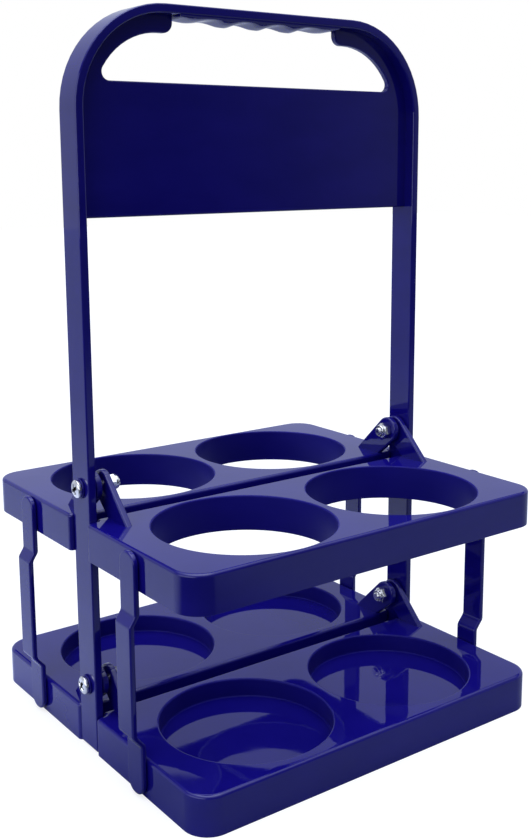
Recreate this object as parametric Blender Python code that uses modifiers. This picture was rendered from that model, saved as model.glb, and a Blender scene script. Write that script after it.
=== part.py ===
"""Folding carrier for four bottles.

A flat moulded frame is the handle and the two posts. Two tiers of trays hang on bolts through the
posts, a front and a back tray in each tier: the upper trays are open rings and the lower ones are
cups. Four drop links join each lower tray to the upper tray above it, so that a pair folds up
beside the handle together.

Units are metres and Z is up. X runs along the handle, the front trays lie on the -Y side, and the
origin is on the ground under the middle of the handle.
"""

import math
from dataclasses import dataclass

import bmesh
import bpy
from mathutils import Matrix, Vector

# Bottle places, shared by both tiers so that a bottle stands upright through them
RING_RADIUS = 0.0400  # hole of an upper tray, which sets a bottle's largest size
CUP_RADIUS = 0.0385  # cup of a lower tray
RING_GAP = 0.0046  # plastic between the two holes of an upper tray
RING_MARGIN = 0.0030  # plastic between a hole and its tray's inner edge
SLOT = 0.0090  # gap between a front tray and a back tray

# Trays
UPPER_DEPTH = 0.0168
LOWER_DEPTH = 0.0176
UPPER_OUTER_MARGIN = 0.0024  # plastic between a hole and its tray's outer edge
LOWER_OUTER_MARGIN = 0.0058
UPPER_OVERHANG = 0.0019  # how far a tray's end stands past the post's outer face
LOWER_OVERHANG = 0.0005
TRAY_WALL = 0.0025
TUBE_WALL = 0.0028  # round each hole, under the deck
TRAY_DECK = 0.0025
TRAY_RIB = 0.0040
CUP_DEPTH = 0.0088  # from a lower tray's top down to the floor of its cups
CUP_FLOOR = 0.0025
TRAY_CORNER = 0.0118
TRAY_FILLET = 0.0015
HOLE_FILLET = 0.0008
NOTCH_CORNER = 0.0020  # both outer corners of the notch round the post
NOTCH_BEND = 0.0008  # the notch's inner corner
NOTCH_SIDE_GAP = 0.0005  # between the notch and the post's inner face

# Handle frame
FRAME_WIDTH = 0.1910
FRAME_DEPTH = 0.0150
FRAME_HEIGHT = 0.3254
FOOT_GAP = 0.0005  # between a post's foot and the ground
BAND = 0.0038
BAND_EDGE = 0.0006
FRAME_CORNER = 0.0440
WEB_THICKNESS = 0.0032
WEB_RIM = 0.0076  # width of the web left inside the band round the corner
HAND_HOLE_DROP = 0.0319  # from the frame's top down to the hand hole's lower edge
PANEL_HEIGHT = 0.0565
HAND_HOLE_CORNER = 0.0035
GRIP_MARGIN = 0.0065  # from a round corner's start to the grip's end
GRIP_THICKNESS = 0.0052
GRIP_BULGE = 0.0022
GRIP_END_BULGE = 0.0012
GRIP_EDGE = 0.0003  # how far the thicker grip stays inside the band's edges
FINGER_PITCH = 0.0180
WEB_END_CORNER = 0.0045

# Hinges
TIER_SPACING = 0.0907
UPPER_EAR_RISE = 0.0135  # from an upper tray's top to its hinge axis
LOWER_EAR_RISE = 0.0129
EAR_RADIUS = 0.0066
EAR_SLOPE = math.radians(45)  # of the edge that runs from the lobe down to the deck
EAR_HEEL = 0.0012  # from the tray's inner edge to the ear's foot
EAR_THICKNESS = 0.0031
EAR_SET_IN = 0.0002  # between the outer ear's face and the notch
EAR_GAP = 0.0019  # between the outer and the inner ear
EAR_ROOT = 0.0017  # how far an ear runs down into the deck

# Bolts, washers and nuts: M4
SHANK_RADIUS = 0.0020
BOLT_LENGTH = 0.0200
HEAD_RADIUS = 0.0040
HEAD_HEIGHT = 0.0021
RECESS_SPAN = 0.0044
RECESS_SLOT = 0.0011
RECESS_DEPTH = 0.0013
WASHER_RADIUS = 0.0045
WASHER_THICKNESS = 0.0008
NUT_ACROSS_FLATS = 0.0070
NUT_HEX_HEIGHT = 0.0034
NUT_COLLAR_HEIGHT = 0.0016
NUT_COLLAR_RADIUS = 0.0031
NUT_CHAMFER = 0.0004

# Drop links
LINK_WIDTH = 0.0120
LINK_THICKNESS = 0.0025
LINK_Y = 0.0470
LINK_END = 0.0076  # from a pin to the link's end
LINK_END_RADIUS = 0.0056
LINK_STANDOFF = 0.0026  # how far the middle stands out past the upper end
PIN_DROP = 0.0217  # from a hinge axis down to the link's pin
UPPER_JOG = 0.0186  # from the upper pin down to the jog
UPPER_JOG_RUN = 0.0039
LOWER_JOG = 0.0155  # from the lower pin up to the jog
LOWER_JOG_RUN = 0.0048
PIN_RADIUS = 0.0025
PIN_LIP = 0.0006
PIN_LIP_LENGTH = 0.0015
PIN_ROOT = 0.0012

# Clearances
RUNNING_GAP = 0.0003  # round a pin or a bolt, and between faces that slide
SEAT_GAP = 0.0002  # under a bolt head, a washer and a nut
CUT_PAST = 0.0010  # how far a cutter runs past the face that it cuts

# Facets
ARC_STEP = math.radians(12)
HOLE_SEGMENTS = 40
ROUND_SEGMENTS = 16
FILLET_SEGMENTS = 2
HOLE_FILLET_STEPS = 1
GRIP_STEPS = (30, 4)
WELD = 1e-6
FLAT_ANGLE = math.radians(0.5)
SHARP_ANGLE = math.radians(35)

# Places that follow from the sizes above
BOTTLE_X = RING_RADIUS + RING_GAP / 2
BOTTLE_Y = SLOT / 2 + RING_MARGIN + RING_RADIUS
POST_OUTER = FRAME_WIDTH / 2
POST_INNER = POST_OUTER - BAND
HAND_HOLE_BOTTOM = FRAME_HEIGHT - HAND_HOLE_DROP
PANEL_BOTTOM = HAND_HOLE_BOTTOM - PANEL_HEIGHT
GRIP_END = POST_OUTER - FRAME_CORNER - GRIP_MARGIN
LOWER_HINGE_Z = LOWER_DEPTH + LOWER_EAR_RISE
UPPER_HINGE_Z = LOWER_HINGE_Z + TIER_SPACING
NOTCH_X = POST_INNER - NOTCH_SIDE_GAP
NOTCH_Y = FRAME_DEPTH / 2 + RUNNING_GAP
OUTER_EAR = (NOTCH_X - EAR_SET_IN - EAR_THICKNESS, NOTCH_X - EAR_SET_IN)
INNER_EAR = (OUTER_EAR[0] - EAR_GAP - EAR_THICKNESS, OUTER_EAR[0] - EAR_GAP)
BOLT_HOLE_RADIUS = SHANK_RADIUS + RUNNING_GAP
PIN_HOLE_RADIUS = PIN_RADIUS + RUNNING_GAP
WASHER_X = POST_OUTER + SEAT_GAP
HEAD_X = WASHER_X + WASHER_THICKNESS + SEAT_GAP
NUT_X = INNER_EAR[0] - SEAT_GAP

# How an outline's own plane lies in the part: the outline's two directions, then its thickness
PLANES = {
    "XY": Matrix.Identity(4),
    "XZ": Matrix(((1, 0, 0, 0), (0, 0, -1, 0), (0, 1, 0, 0), (0, 0, 0, 1))),
    "YZ": Matrix(((0, 0, 1, 0), (1, 0, 0, 0), (0, 1, 0, 0), (0, 0, 0, 1))),
}
ALONG_X = Matrix.Rotation(math.pi / 2, 4, "Y")
AGAINST_X = Matrix.Rotation(-math.pi / 2, 4, "Y")


@dataclass(frozen=True)
class Finish:
    """Colour, roughness and metallic value of one kind of surface."""

    colour: tuple
    roughness: float
    metallic: float


BLUE_PLASTIC = Finish((0.012, 0.006, 0.160, 1.0), 0.12, 0.0)
STEEL = Finish((0.70, 0.70, 0.72, 1.0), 0.20, 1.0)


@dataclass(frozen=True)
class Tier:
    """The sizes in which an upper and a lower tray differ."""

    name: str
    hinge_z: float
    hole_radius: float
    depth: float
    ear_rise: float
    half_length: float
    outer_y: float
    cup_depth: float

    @property
    def top(self):
        """Height of the tray's top face, from the hinge axis."""
        return -self.ear_rise

    @property
    def bottom(self):
        """Height of the tray's lower edge, from the hinge axis."""
        return -self.ear_rise - self.depth


UPPER = Tier("upper", UPPER_HINGE_Z, RING_RADIUS, UPPER_DEPTH, UPPER_EAR_RISE,
             POST_OUTER + UPPER_OVERHANG, BOTTLE_Y + RING_RADIUS + UPPER_OUTER_MARGIN, 0.0)
LOWER = Tier("lower", LOWER_HINGE_Z, CUP_RADIUS, LOWER_DEPTH, LOWER_EAR_RISE,
             POST_OUTER + LOWER_OVERHANG, BOTTLE_Y + CUP_RADIUS + LOWER_OUTER_MARGIN, CUP_DEPTH)


def clear_scene():
    """Remove every object of the open scene."""
    for obj in list(bpy.data.objects):
        bpy.data.objects.remove(obj)


def new_collection(name):
    """Add an empty collection to the scene."""
    collection = bpy.data.collections.new(name)
    bpy.context.scene.collection.children.link(collection)
    return collection


clear_scene()
PARTS = new_collection("bottle_carrier")
CUTTERS = new_collection("bottle_carrier_cutters")


def evaluated_mesh(obj):
    """The mesh that an object shows once its modifiers have run."""
    depsgraph = bpy.context.evaluated_depsgraph_get()
    depsgraph.update()
    return bpy.data.meshes.new_from_object(obj.evaluated_get(depsgraph))


def tool_object(name, data):
    """An object for cutting or joining, drawn as wire and left out of renders."""
    obj = bpy.data.objects.new(name, data)
    CUTTERS.objects.link(obj)
    obj.display_type = "WIRE"
    obj.hide_render = True
    return obj


def mesh_tool(name, bm):
    """A tool object that takes over a bmesh."""
    bmesh.ops.recalc_face_normals(bm, faces=bm.faces)
    mesh = bpy.data.meshes.new(name)
    bm.to_mesh(mesh)
    bm.free()
    return tool_object(name, mesh)


def rounded(corners):
    """Closed outline through corners (u, v, radius), each rounded by its own radius."""
    points = []
    for index, (u, v, radius) in enumerate(corners):
        corner = Vector((u, v))
        before = (Vector(corners[index - 1][:2]) - corner).normalized()
        after = (Vector(corners[(index + 1) % len(corners)][:2]) - corner).normalized()
        if radius <= 0:
            points.append(corner)
            continue
        half = before.angle(after) / 2
        centre = corner + (before + after).normalized() * (radius / math.sin(half))
        start = corner + before * (radius / math.tan(half)) - centre
        turn = math.copysign(math.pi - 2 * half, -before.cross(after))
        steps = max(2, round(abs(turn) / ARC_STEP))
        points += [centre + Matrix.Rotation(turn * step / steps, 2) @ start for step in range(steps + 1)]
    return points


def arc(centre, radius, start, end):
    """Points of an arc between two angles, both ends included."""
    steps = max(2, math.ceil(abs(end - start) / ARC_STEP))
    angles = [start + (end - start) * step / steps for step in range(steps + 1)]
    return [Vector(centre) + Vector((math.cos(a), math.sin(a))) * radius for a in angles]


def outline_solid(name, loops, low, high, plane):
    """Fill a flat outline, with holes if it has more than one loop, and give it thickness."""
    curve = bpy.data.curves.new(name, "CURVE")
    curve.dimensions = "2D"
    curve.fill_mode = "BOTH"
    curve.extrude = (high - low) / 2
    for loop in loops:
        spline = curve.splines.new("POLY")
        spline.points.add(len(loop) - 1)
        for point, (u, v) in zip(spline.points, loop):
            point.co = (u, v, 0.0, 1.0)
        spline.use_cyclic_u = True
    source = tool_object(name, curve)
    bm = bmesh.new()
    bm.from_mesh(evaluated_mesh(source))
    bpy.data.objects.remove(source)
    bmesh.ops.remove_doubles(bm, verts=bm.verts, dist=WELD)
    if len(loops) == 1:
        bmesh.ops.dissolve_limit(bm, angle_limit=FLAT_ANGLE, verts=bm.verts, edges=bm.edges)
    bmesh.ops.translate(bm, vec=(0, 0, (low + high) / 2), verts=bm.verts)
    bmesh.ops.transform(bm, matrix=PLANES[plane], verts=bm.verts)
    return mesh_tool(name, bm)


def cylinder(name, radius, start, end, segments=ROUND_SEGMENTS):
    """A plain round bar from one point to another."""
    start, end = Vector(start), Vector(end)
    bm = bmesh.new()
    bmesh.ops.create_cone(bm, cap_ends=True, segments=segments, radius1=radius, radius2=radius,
                          depth=(end - start).length)
    turn = (end - start).to_track_quat("Z", "Y").to_matrix().to_4x4()
    bmesh.ops.transform(bm, matrix=Matrix.Translation((start + end) / 2) @ turn, verts=bm.verts)
    return mesh_tool(name, bm)


def box(name, low, high):
    """A plain box between two corners."""
    low, high = Vector(low), Vector(high)
    bm = bmesh.new()
    bmesh.ops.create_cube(bm, size=1.0)
    bmesh.ops.scale(bm, vec=high - low, verts=bm.verts)
    bmesh.ops.translate(bm, vec=(low + high) / 2, verts=bm.verts)
    return mesh_tool(name, bm)


def turned(name, profile, segments, turn=Matrix.Identity(4), closed=False):
    """Turn a profile of (radius, height) points, from its top down the outer side, about Z."""
    bm = bmesh.new()
    verts = [bm.verts.new((radius, 0, height)) for radius, height in profile]
    pairs = list(zip(verts, verts[1:]))
    if closed:
        pairs.append((verts[-1], verts[0]))
    for pair in pairs:
        bm.edges.new(pair)
    mesh = bpy.data.meshes.new(name)
    bm.to_mesh(mesh)
    bm.free()
    source = tool_object(name, mesh)
    screw = source.modifiers.new("turn", "SCREW")
    screw.steps = screw.render_steps = segments
    screw.use_merge_vertices = True
    screw.merge_threshold = WELD
    bm = bmesh.new()
    bm.from_mesh(evaluated_mesh(source))
    bpy.data.objects.remove(source)
    if not closed:
        bmesh.ops.dissolve_limit(bm, angle_limit=FLAT_ANGLE, verts=bm.verts, edges=bm.edges)
    bmesh.ops.transform(bm, matrix=turn, verts=bm.verts)
    return mesh_tool(name, bm)


def combine(target, tools, operation):
    """Add a Boolean for each tool."""
    for tool in tools:
        modifier = target.modifiers.new(f"{operation.lower()} {tool.name}", "BOOLEAN")
        modifier.operation = operation
        modifier.solver = "EXACT"
        modifier.object = tool


def finished_mesh(obj):
    """The final mesh of a piece that is used more than once, smooth except at its edges."""
    mesh = evaluated_mesh(obj)
    mesh.shade_smooth()
    mesh.set_sharp_from_angle(angle=SHARP_ANGLE)
    tools = [obj]
    for tool in tools:
        tools += [m.object for m in tool.modifiers if m.type == "BOOLEAN"]
    for tool in tools:
        bpy.data.objects.remove(tool)
    return mesh


def give_material(obj, finish):
    """Give a piece a material of its own."""
    material = bpy.data.materials.new(f"{obj.name}_finish")
    material.use_nodes = True
    shader = material.node_tree.nodes["Principled BSDF"]
    shader.inputs["Base Color"].default_value = finish.colour
    shader.inputs["Roughness"].default_value = finish.roughness
    shader.inputs["Metallic"].default_value = finish.metallic
    material.diffuse_color = finish.colour
    obj.data.materials.clear()
    obj.data.materials.append(material)


def place(name, mesh, finish, parent=None, location=(0, 0, 0), turn=Matrix.Identity(4)):
    """Put one piece of the carrier in its place, in its parent's space if it has one."""
    obj = bpy.data.objects.new(name, mesh.copy())
    PARTS.objects.link(obj)
    obj.parent = parent
    obj.matrix_local = Matrix.Translation(location) @ turn
    give_material(obj, finish)
    return obj


def band_outline():
    """The band: both posts, the round corners and the top, all of one thickness."""
    right = [(POST_OUTER, FRAME_HEIGHT, FRAME_CORNER), (POST_OUTER, FOOT_GAP, 0), (POST_INNER, FOOT_GAP, 0),
             (POST_INNER, FRAME_HEIGHT - BAND, FRAME_CORNER - BAND)]
    left = [(-u, v, radius) for u, v, radius in reversed(right)]
    return rounded(right + left)


def web_outline():
    """The web's outer edge, halfway into the band."""
    side = POST_OUTER - BAND / 2
    top = FRAME_HEIGHT - BAND / 2
    radius = FRAME_CORNER - BAND
    return rounded([(side, PANEL_BOTTOM, 0), (side, top, radius), (-side, top, radius), (-side, PANEL_BOTTOM, 0)])


def hand_hole_outline():
    """The hand hole: level bottom, corners round the band's own, and open up to the grip."""
    centre = (POST_OUTER - FRAME_CORNER, FRAME_HEIGHT - FRAME_CORNER)
    radius = FRAME_CORNER - BAND - WEB_RIM
    foot_z = HAND_HOLE_BOTTOM + HAND_HOLE_CORNER
    reach = radius - HAND_HOLE_CORNER
    side_start = math.asin((foot_z - centre[1]) / reach)
    foot = [(centre[0] + reach * math.cos(side_start), foot_z), HAND_HOLE_CORNER, -math.pi / 2, side_start]
    end = [(GRIP_END + WEB_END_CORNER, centre[1] + radius + WEB_END_CORNER), WEB_END_CORNER, -math.pi / 2, -math.pi]
    right = arc(*foot) + arc(centre, radius, side_start, math.pi / 2)[1:] + arc(*end)
    right.append(Vector((GRIP_END, FRAME_HEIGHT - BAND / 2)))
    return right + [Vector((-u, v)) for u, v in reversed(right)]


def grip_underside():
    """The thicker grip under the band: a row of finger bulges, round from front to back."""
    half_depth = FRAME_DEPTH / 2 - GRIP_EDGE
    under = FRAME_HEIGHT - GRIP_THICKNESS
    root = FRAME_HEIGHT - BAND / 2
    bm = bmesh.new()
    bmesh.ops.create_grid(bm, x_segments=GRIP_STEPS[0], y_segments=GRIP_STEPS[1], size=1.0)
    bmesh.ops.scale(bm, vec=(GRIP_END, half_depth, 1.0), verts=bm.verts)
    bmesh.ops.translate(bm, vec=(0, 0, root), verts=bm.verts)
    made = bmesh.ops.extrude_face_region(bm, geom=bm.faces[:])
    for vert in [item for item in made["geom"] if isinstance(item, bmesh.types.BMVert)]:
        last = abs(vert.co.x) > 1.5 * FINGER_PITCH
        bulge = GRIP_END_BULGE if last else GRIP_BULGE
        wave = (1 + math.cos(2 * math.pi * vert.co.x / FINGER_PITCH)) / 2
        crown = 1 - (vert.co.y / half_depth) ** 2
        vert.co.z = under - bulge * wave * crown
    return mesh_tool("grip_underside", bm)


def build_frame():
    """The handle frame: band, web and grip bulges in one moulding, bored for the bolts."""
    frame = outline_solid("handle_frame", [band_outline()], -FRAME_DEPTH / 2, FRAME_DEPTH / 2, "XZ")
    CUTTERS.objects.unlink(frame)
    PARTS.objects.link(frame)
    frame.display_type = "TEXTURED"
    frame.hide_render = False
    bevel = frame.modifiers.new("band edge", "BEVEL")
    bevel.width = BAND_EDGE
    bevel.segments = 2
    bevel.limit_method = "ANGLE"
    bevel.angle_limit = SHARP_ANGLE
    web = outline_solid("web", [web_outline(), hand_hole_outline()], -WEB_THICKNESS / 2, WEB_THICKNESS / 2, "XZ")
    combine(frame, [web, grip_underside()], "UNION")
    bores = [cylinder(f"{tier.name}_bolt_bore", BOLT_HOLE_RADIUS, (-POST_OUTER - CUT_PAST, 0, tier.hinge_z),
                      (POST_OUTER + CUT_PAST, 0, tier.hinge_z)) for tier in (UPPER, LOWER)]
    combine(frame, bores, "DIFFERENCE")
    frame.data.shade_smooth()
    frame.data.set_sharp_from_angle(angle=SHARP_ANGLE)
    give_material(frame, BLUE_PLASTIC)
    return frame


def tray_outline(tier, inset):
    """A front tray from above: round outer corners, and a notch round each post."""
    end = tier.half_length - inset
    outer = -(tier.outer_y - inset)
    inner = -(SLOT / 2 + inset)
    shelf = -(NOTCH_Y + inset)
    side = NOTCH_X - inset
    notch = max(NOTCH_CORNER - inset, NOTCH_BEND)
    right = [(end, outer, TRAY_CORNER - inset), (end, shelf, notch), (side, shelf, NOTCH_BEND), (side, inner, notch)]
    left = [(-u, v, radius) for u, v, radius in reversed(right)]
    return rounded(right + left)


def tray_block(tier):
    """A front tray before it is cut, with its top edge rounded."""
    block = outline_solid(f"{tier.name}_tray", [tray_outline(tier, 0)], tier.bottom, tier.top, "XY")
    bm = bmesh.new()
    bm.from_mesh(block.data)
    weight = bm.edges.layers.float.new("bevel_weight_edge")
    for edge in bm.edges:
        if min(vert.co.z for vert in edge.verts) > tier.top - WELD:
            edge[weight] = 1.0
    bm.to_mesh(block.data)
    bm.free()
    bevel = block.modifiers.new("top edge", "BEVEL")
    bevel.width = TRAY_FILLET
    bevel.segments = FILLET_SEGMENTS
    bevel.limit_method = "WEIGHT"
    return block


def ear(tier, side, span):
    """One hinge ear: a round lobe about the axis, with two tangents down to its foot in the deck."""
    low = tier.top - EAR_ROOT
    reach = (EAR_RADIUS + tier.ear_rise * math.cos(EAR_SLOPE)) / math.sin(EAR_SLOPE)
    foot = Vector((-reach, tier.top))
    heel = Vector((-(SLOT / 2 + EAR_HEEL), tier.top))
    lobe_start = math.pi / 2 + EAR_SLOPE
    lobe_end = math.atan2(heel.y, heel.x) + math.acos(EAR_RADIUS / heel.length)
    outline = [Vector((foot.x, low)), foot]
    outline += arc((0, 0), EAR_RADIUS, lobe_start, lobe_end)
    outline += [heel, Vector((heel.x, low))]
    near, far = sorted(side * face for face in span)
    return outline_solid(f"{tier.name}_ear", [outline], near, far, "YZ")


def hole_cutter(tier, x):
    """A bottle's hole or cup, flared at the top so that its rim comes out rounded."""
    crest = tier.top + RUNNING_GAP / 10
    steps = [math.pi / 2 * (1 - step / HOLE_FILLET_STEPS) for step in range(HOLE_FILLET_STEPS + 1)]
    low = tier.top - tier.cup_depth if tier.cup_depth else tier.bottom - CUT_PAST
    profile = [(0, crest + CUT_PAST), (tier.hole_radius + HOLE_FILLET, crest + CUT_PAST)]
    profile += [(tier.hole_radius + HOLE_FILLET * (1 - math.cos(a)), crest - HOLE_FILLET * (1 - math.sin(a)))
                for a in steps]
    profile += [(tier.hole_radius, low), (0, low)]
    return turned(f"{tier.name}_hole", profile, HOLE_SEGMENTS, Matrix.Translation((x, -BOTTLE_Y, 0)))


def undercut_cutter(tier, x):
    """The round hollow under a cup's floor, within the tube that carries the floor."""
    roof = tier.top - tier.cup_depth - CUP_FLOOR
    return cylinder(f"{tier.name}_undercut", tier.hole_radius, (x, -BOTTLE_Y, tier.bottom - CUT_PAST),
                    (x, -BOTTLE_Y, roof), HOLE_SEGMENTS)


def pocket_cutter(tier):
    """The hollow under the deck, which leaves the skirt, a tube round each hole and cross ribs."""
    low = tier.bottom - CUT_PAST
    high = tier.top - TRAY_DECK
    pocket = outline_solid(f"{tier.name}_pocket", [tray_outline(tier, TRAY_WALL)], low, high, "XY")
    tubes = [cylinder("tube", tier.hole_radius + TUBE_WALL, (x, -BOTTLE_Y, low - CUT_PAST),
                      (x, -BOTTLE_Y, high + CUT_PAST), HOLE_SEGMENTS) for x in (-BOTTLE_X, BOTTLE_X)]
    ribs = [box("rib", (x - TRAY_RIB / 2, -tier.outer_y, low - CUT_PAST), (x + TRAY_RIB / 2, 0, high + CUT_PAST))
            for x in (-BOTTLE_X, 0, BOTTLE_X)]
    combine(pocket, tubes + ribs, "DIFFERENCE")
    return pocket


def tray_mesh(tier):
    """A front tray about its hinge axis. A back tray is the same moulding, turned half round."""
    tray = tray_block(tier)
    reach = tier.half_length + CUT_PAST
    wall = tier.half_length - TRAY_WALL - CUT_PAST
    combine(tray, [ear(tier, -1, INNER_EAR), ear(tier, 1, OUTER_EAR)], "UNION")
    cutters = [pocket_cutter(tier), hole_cutter(tier, -BOTTLE_X), hole_cutter(tier, BOTTLE_X)]
    if tier.cup_depth:
        cutters += [undercut_cutter(tier, -BOTTLE_X), undercut_cutter(tier, BOTTLE_X)]
    cutters.append(cylinder("hinge_bore", BOLT_HOLE_RADIUS, (-reach, 0, 0), (reach, 0, 0)))
    cutters += [cylinder("pin_hole", PIN_HOLE_RADIUS, (side * wall, -LINK_Y, -PIN_DROP),
                         (side * reach, -LINK_Y, -PIN_DROP)) for side in (-1, 1)]
    combine(tray, cutters, "DIFFERENCE")
    return finished_mesh(tray)


def link_offset(height):
    """How far the link's inner face stands out from its upper end, at a height from the upper pin."""
    lower_end = LOWER.half_length - UPPER.half_length
    bends = [(-UPPER_JOG, 0.0), (-UPPER_JOG - UPPER_JOG_RUN, LINK_STANDOFF),
             (-TIER_SPACING + LOWER_JOG + LOWER_JOG_RUN, LINK_STANDOFF), (-TIER_SPACING + LOWER_JOG, lower_end)]
    if height >= bends[0][0]:
        return 0.0
    for (z0, x0), (z1, x1) in zip(bends, bends[1:]):
        if height >= z1:
            return x0 + (x1 - x0) * (z0 - height) / (z0 - z1)
    return lower_end


def snap_pin(height):
    """A pin that snaps through a tray's end wall, held by its lip."""
    tip = RUNNING_GAP + TRAY_WALL + RUNNING_GAP + PIN_LIP_LENGTH
    lip = PIN_RADIUS + PIN_LIP
    profile = [(0, tip), (PIN_RADIUS - PIN_LIP, tip), (lip, tip - PIN_LIP_LENGTH / 2), (lip, tip - PIN_LIP_LENGTH),
               (PIN_RADIUS, tip - PIN_LIP_LENGTH), (PIN_RADIUS, -PIN_ROOT), (0, -PIN_ROOT)]
    place_at = Matrix.Translation((link_offset(height), 0, height)) @ AGAINST_X
    return turned("snap_pin", profile, ROUND_SEGMENTS, place_at)


def link_mesh():
    """A drop link about its upper pin: a strip with a jog near each end and a pin in each end."""
    half = LINK_WIDTH / 2
    top = LINK_END
    low = -TIER_SPACING - LINK_END
    corners = [(-half, top), (-half, low), (half, low), (half, top)]
    strip = outline_solid("link", [rounded([(u, v, LINK_END_RADIUS) for u, v in corners])], 0, LINK_THICKNESS, "YZ")
    bm = bmesh.new()
    bm.from_mesh(strip.data)
    bends = [-UPPER_JOG, -UPPER_JOG - UPPER_JOG_RUN,
             -TIER_SPACING + LOWER_JOG + LOWER_JOG_RUN, -TIER_SPACING + LOWER_JOG]
    for height in bends:
        everything = bm.verts[:] + bm.edges[:] + bm.faces[:]
        bmesh.ops.bisect_plane(bm, geom=everything, dist=WELD, plane_co=(0, 0, height), plane_no=(0, 0, 1))
    for vert in bm.verts:
        vert.co.x += link_offset(vert.co.z)
    bm.to_mesh(strip.data)
    bm.free()
    combine(strip, [snap_pin(0.0), snap_pin(-TIER_SPACING)], "UNION")
    return finished_mesh(strip)


def bolt_mesh():
    """A pan-head bolt with a cross recess, from the head's seat along -Z."""
    crown = [(HEAD_RADIUS * math.cos(a), HEAD_HEIGHT * (0.4 + 0.6 * math.sin(a)))
             for a in (math.radians(step) for step in (62, 45, 25, 0))]
    point = SHANK_RADIUS / 4
    profile = [(0, HEAD_HEIGHT), (HEAD_RADIUS / 4, HEAD_HEIGHT)] + crown + [
        (HEAD_RADIUS, 0), (SHANK_RADIUS, 0), (SHANK_RADIUS, -BOLT_LENGTH + point),
        (SHANK_RADIUS - point, -BOLT_LENGTH), (0, -BOLT_LENGTH)]
    bolt = turned("bolt", profile, ROUND_SEGMENTS)
    arm = RECESS_SPAN / 2
    slot = RECESS_SLOT / 2
    low = HEAD_HEIGHT - RECESS_DEPTH
    high = HEAD_HEIGHT + CUT_PAST
    recess = [box("recess", (-arm, -slot, low), (arm, slot, high)), box("recess", (-slot, -arm, low), (slot, arm, high))]
    combine(bolt, recess, "DIFFERENCE")
    return finished_mesh(bolt)


def washer_mesh():
    """A flat washer, standing on its lower face."""
    bore = BOLT_HOLE_RADIUS
    ring = [(WASHER_RADIUS, WASHER_THICKNESS), (WASHER_RADIUS, 0), (bore, 0), (bore, WASHER_THICKNESS)]
    return finished_mesh(turned("washer", ring, ROUND_SEGMENTS, closed=True))


def nut_mesh():
    """A lock nut: a chamfered hexagon with a round collar, from its seat along +Z."""
    corner = NUT_ACROSS_FLATS / 2 / math.cos(math.pi / 6)
    nut = cylinder("nut", corner, (0, 0, 0), (0, 0, NUT_HEX_HEIGHT), 6)
    rim = corner + NUT_CHAMFER / 2
    narrow = rim - NUT_CHAMFER - CUT_PAST
    envelope = [(0, NUT_HEX_HEIGHT + CUT_PAST), (narrow, NUT_HEX_HEIGHT + CUT_PAST / 2),
                (rim, NUT_HEX_HEIGHT - NUT_CHAMFER), (rim, NUT_CHAMFER), (narrow, -CUT_PAST / 2), (0, -CUT_PAST)]
    top = NUT_HEX_HEIGHT + NUT_COLLAR_HEIGHT
    edge = NUT_CHAMFER
    collar = [(0, top), (NUT_COLLAR_RADIUS - edge, top), (NUT_COLLAR_RADIUS, top - edge),
              (NUT_COLLAR_RADIUS, NUT_HEX_HEIGHT / 2), (0, NUT_HEX_HEIGHT / 2)]
    combine(nut, [turned("envelope", envelope, ROUND_SEGMENTS)], "INTERSECT")
    combine(nut, [turned("collar", collar, ROUND_SEGMENTS)], "UNION")
    bore = cylinder("nut_bore", BOLT_HOLE_RADIUS, (0, 0, -CUT_PAST), (0, 0, top + CUT_PAST))
    combine(nut, [bore], "DIFFERENCE")
    return finished_mesh(nut)


def build_trays():
    """Both tiers' trays, the front ones as modelled and the back ones turned half round."""
    trays = {}
    for tier in (UPPER, LOWER):
        mesh = tray_mesh(tier)
        for row, angle in (("front", 0), ("back", math.pi)):
            name = f"{row}_{tier.name}_tray"
            turn = Matrix.Rotation(angle, 4, "Z")
            trays[row, tier.name] = place(name, mesh, BLUE_PLASTIC, None, (0, 0, tier.hinge_z), turn)
    return trays


def build_links(trays):
    """A link at each end of both pairs of trays, hung on the upper tray's pins."""
    mesh = link_mesh()
    for row, local_sides in (("front", (-1, 1)), ("back", (1, -1))):
        for hand, side in zip(("left", "right"), local_sides):
            location = (side * (UPPER.half_length + RUNNING_GAP), -LINK_Y, -PIN_DROP)
            turn = Matrix.Rotation(0 if side > 0 else math.pi, 4, "Z")
            place(f"{row}_{hand}_link", mesh, BLUE_PLASTIC, trays[row, "upper"], location, turn)


def build_hardware(frame):
    """A steel bolt and nut through each post, with a plastic washer under the head, for each tier."""
    meshes = {"bolt": bolt_mesh(), "washer": washer_mesh(), "nut": nut_mesh()}
    for tier in (UPPER, LOWER):
        for hand, side in (("left", -1), ("right", 1)):
            outward, inward = (ALONG_X, AGAINST_X) if side > 0 else (AGAINST_X, ALONG_X)
            places = {"bolt": (STEEL, HEAD_X, outward), "washer": (BLUE_PLASTIC, WASHER_X, outward),
                      "nut": (STEEL, NUT_X, inward)}
            for kind, (finish, x, turn) in places.items():
                name = f"{tier.name}_{hand}_{kind}"
                place(name, meshes[kind], finish, frame, (side * x, 0, tier.hinge_z), turn)


FRAME = build_frame()
build_links(build_trays())
build_hardware(FRAME)
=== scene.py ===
"""Looks of a folding bottle carrier: its mouldings, its hardware, their finishes and the studio.

Shapes are worked out in millimetres and written to meshes in metres. X runs along the handle, the
front trays lie on the -Y side and Z is up, with the origin on the ground under the handle's middle.
Every shape is a surface on a grid of two parameters, or a profile carried along an outline.
"""

from __future__ import annotations

import logging
import math
from dataclasses import dataclass, field
from enum import Enum
from typing import Any, Sequence

import bpy
import numpy as np
from bpy.types import Camera, Material, Mesh, Node, NodeSocket, Object, World
from mathutils import Matrix, Vector
from mathutils.geometry import delaunay_2d_cdt

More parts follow.
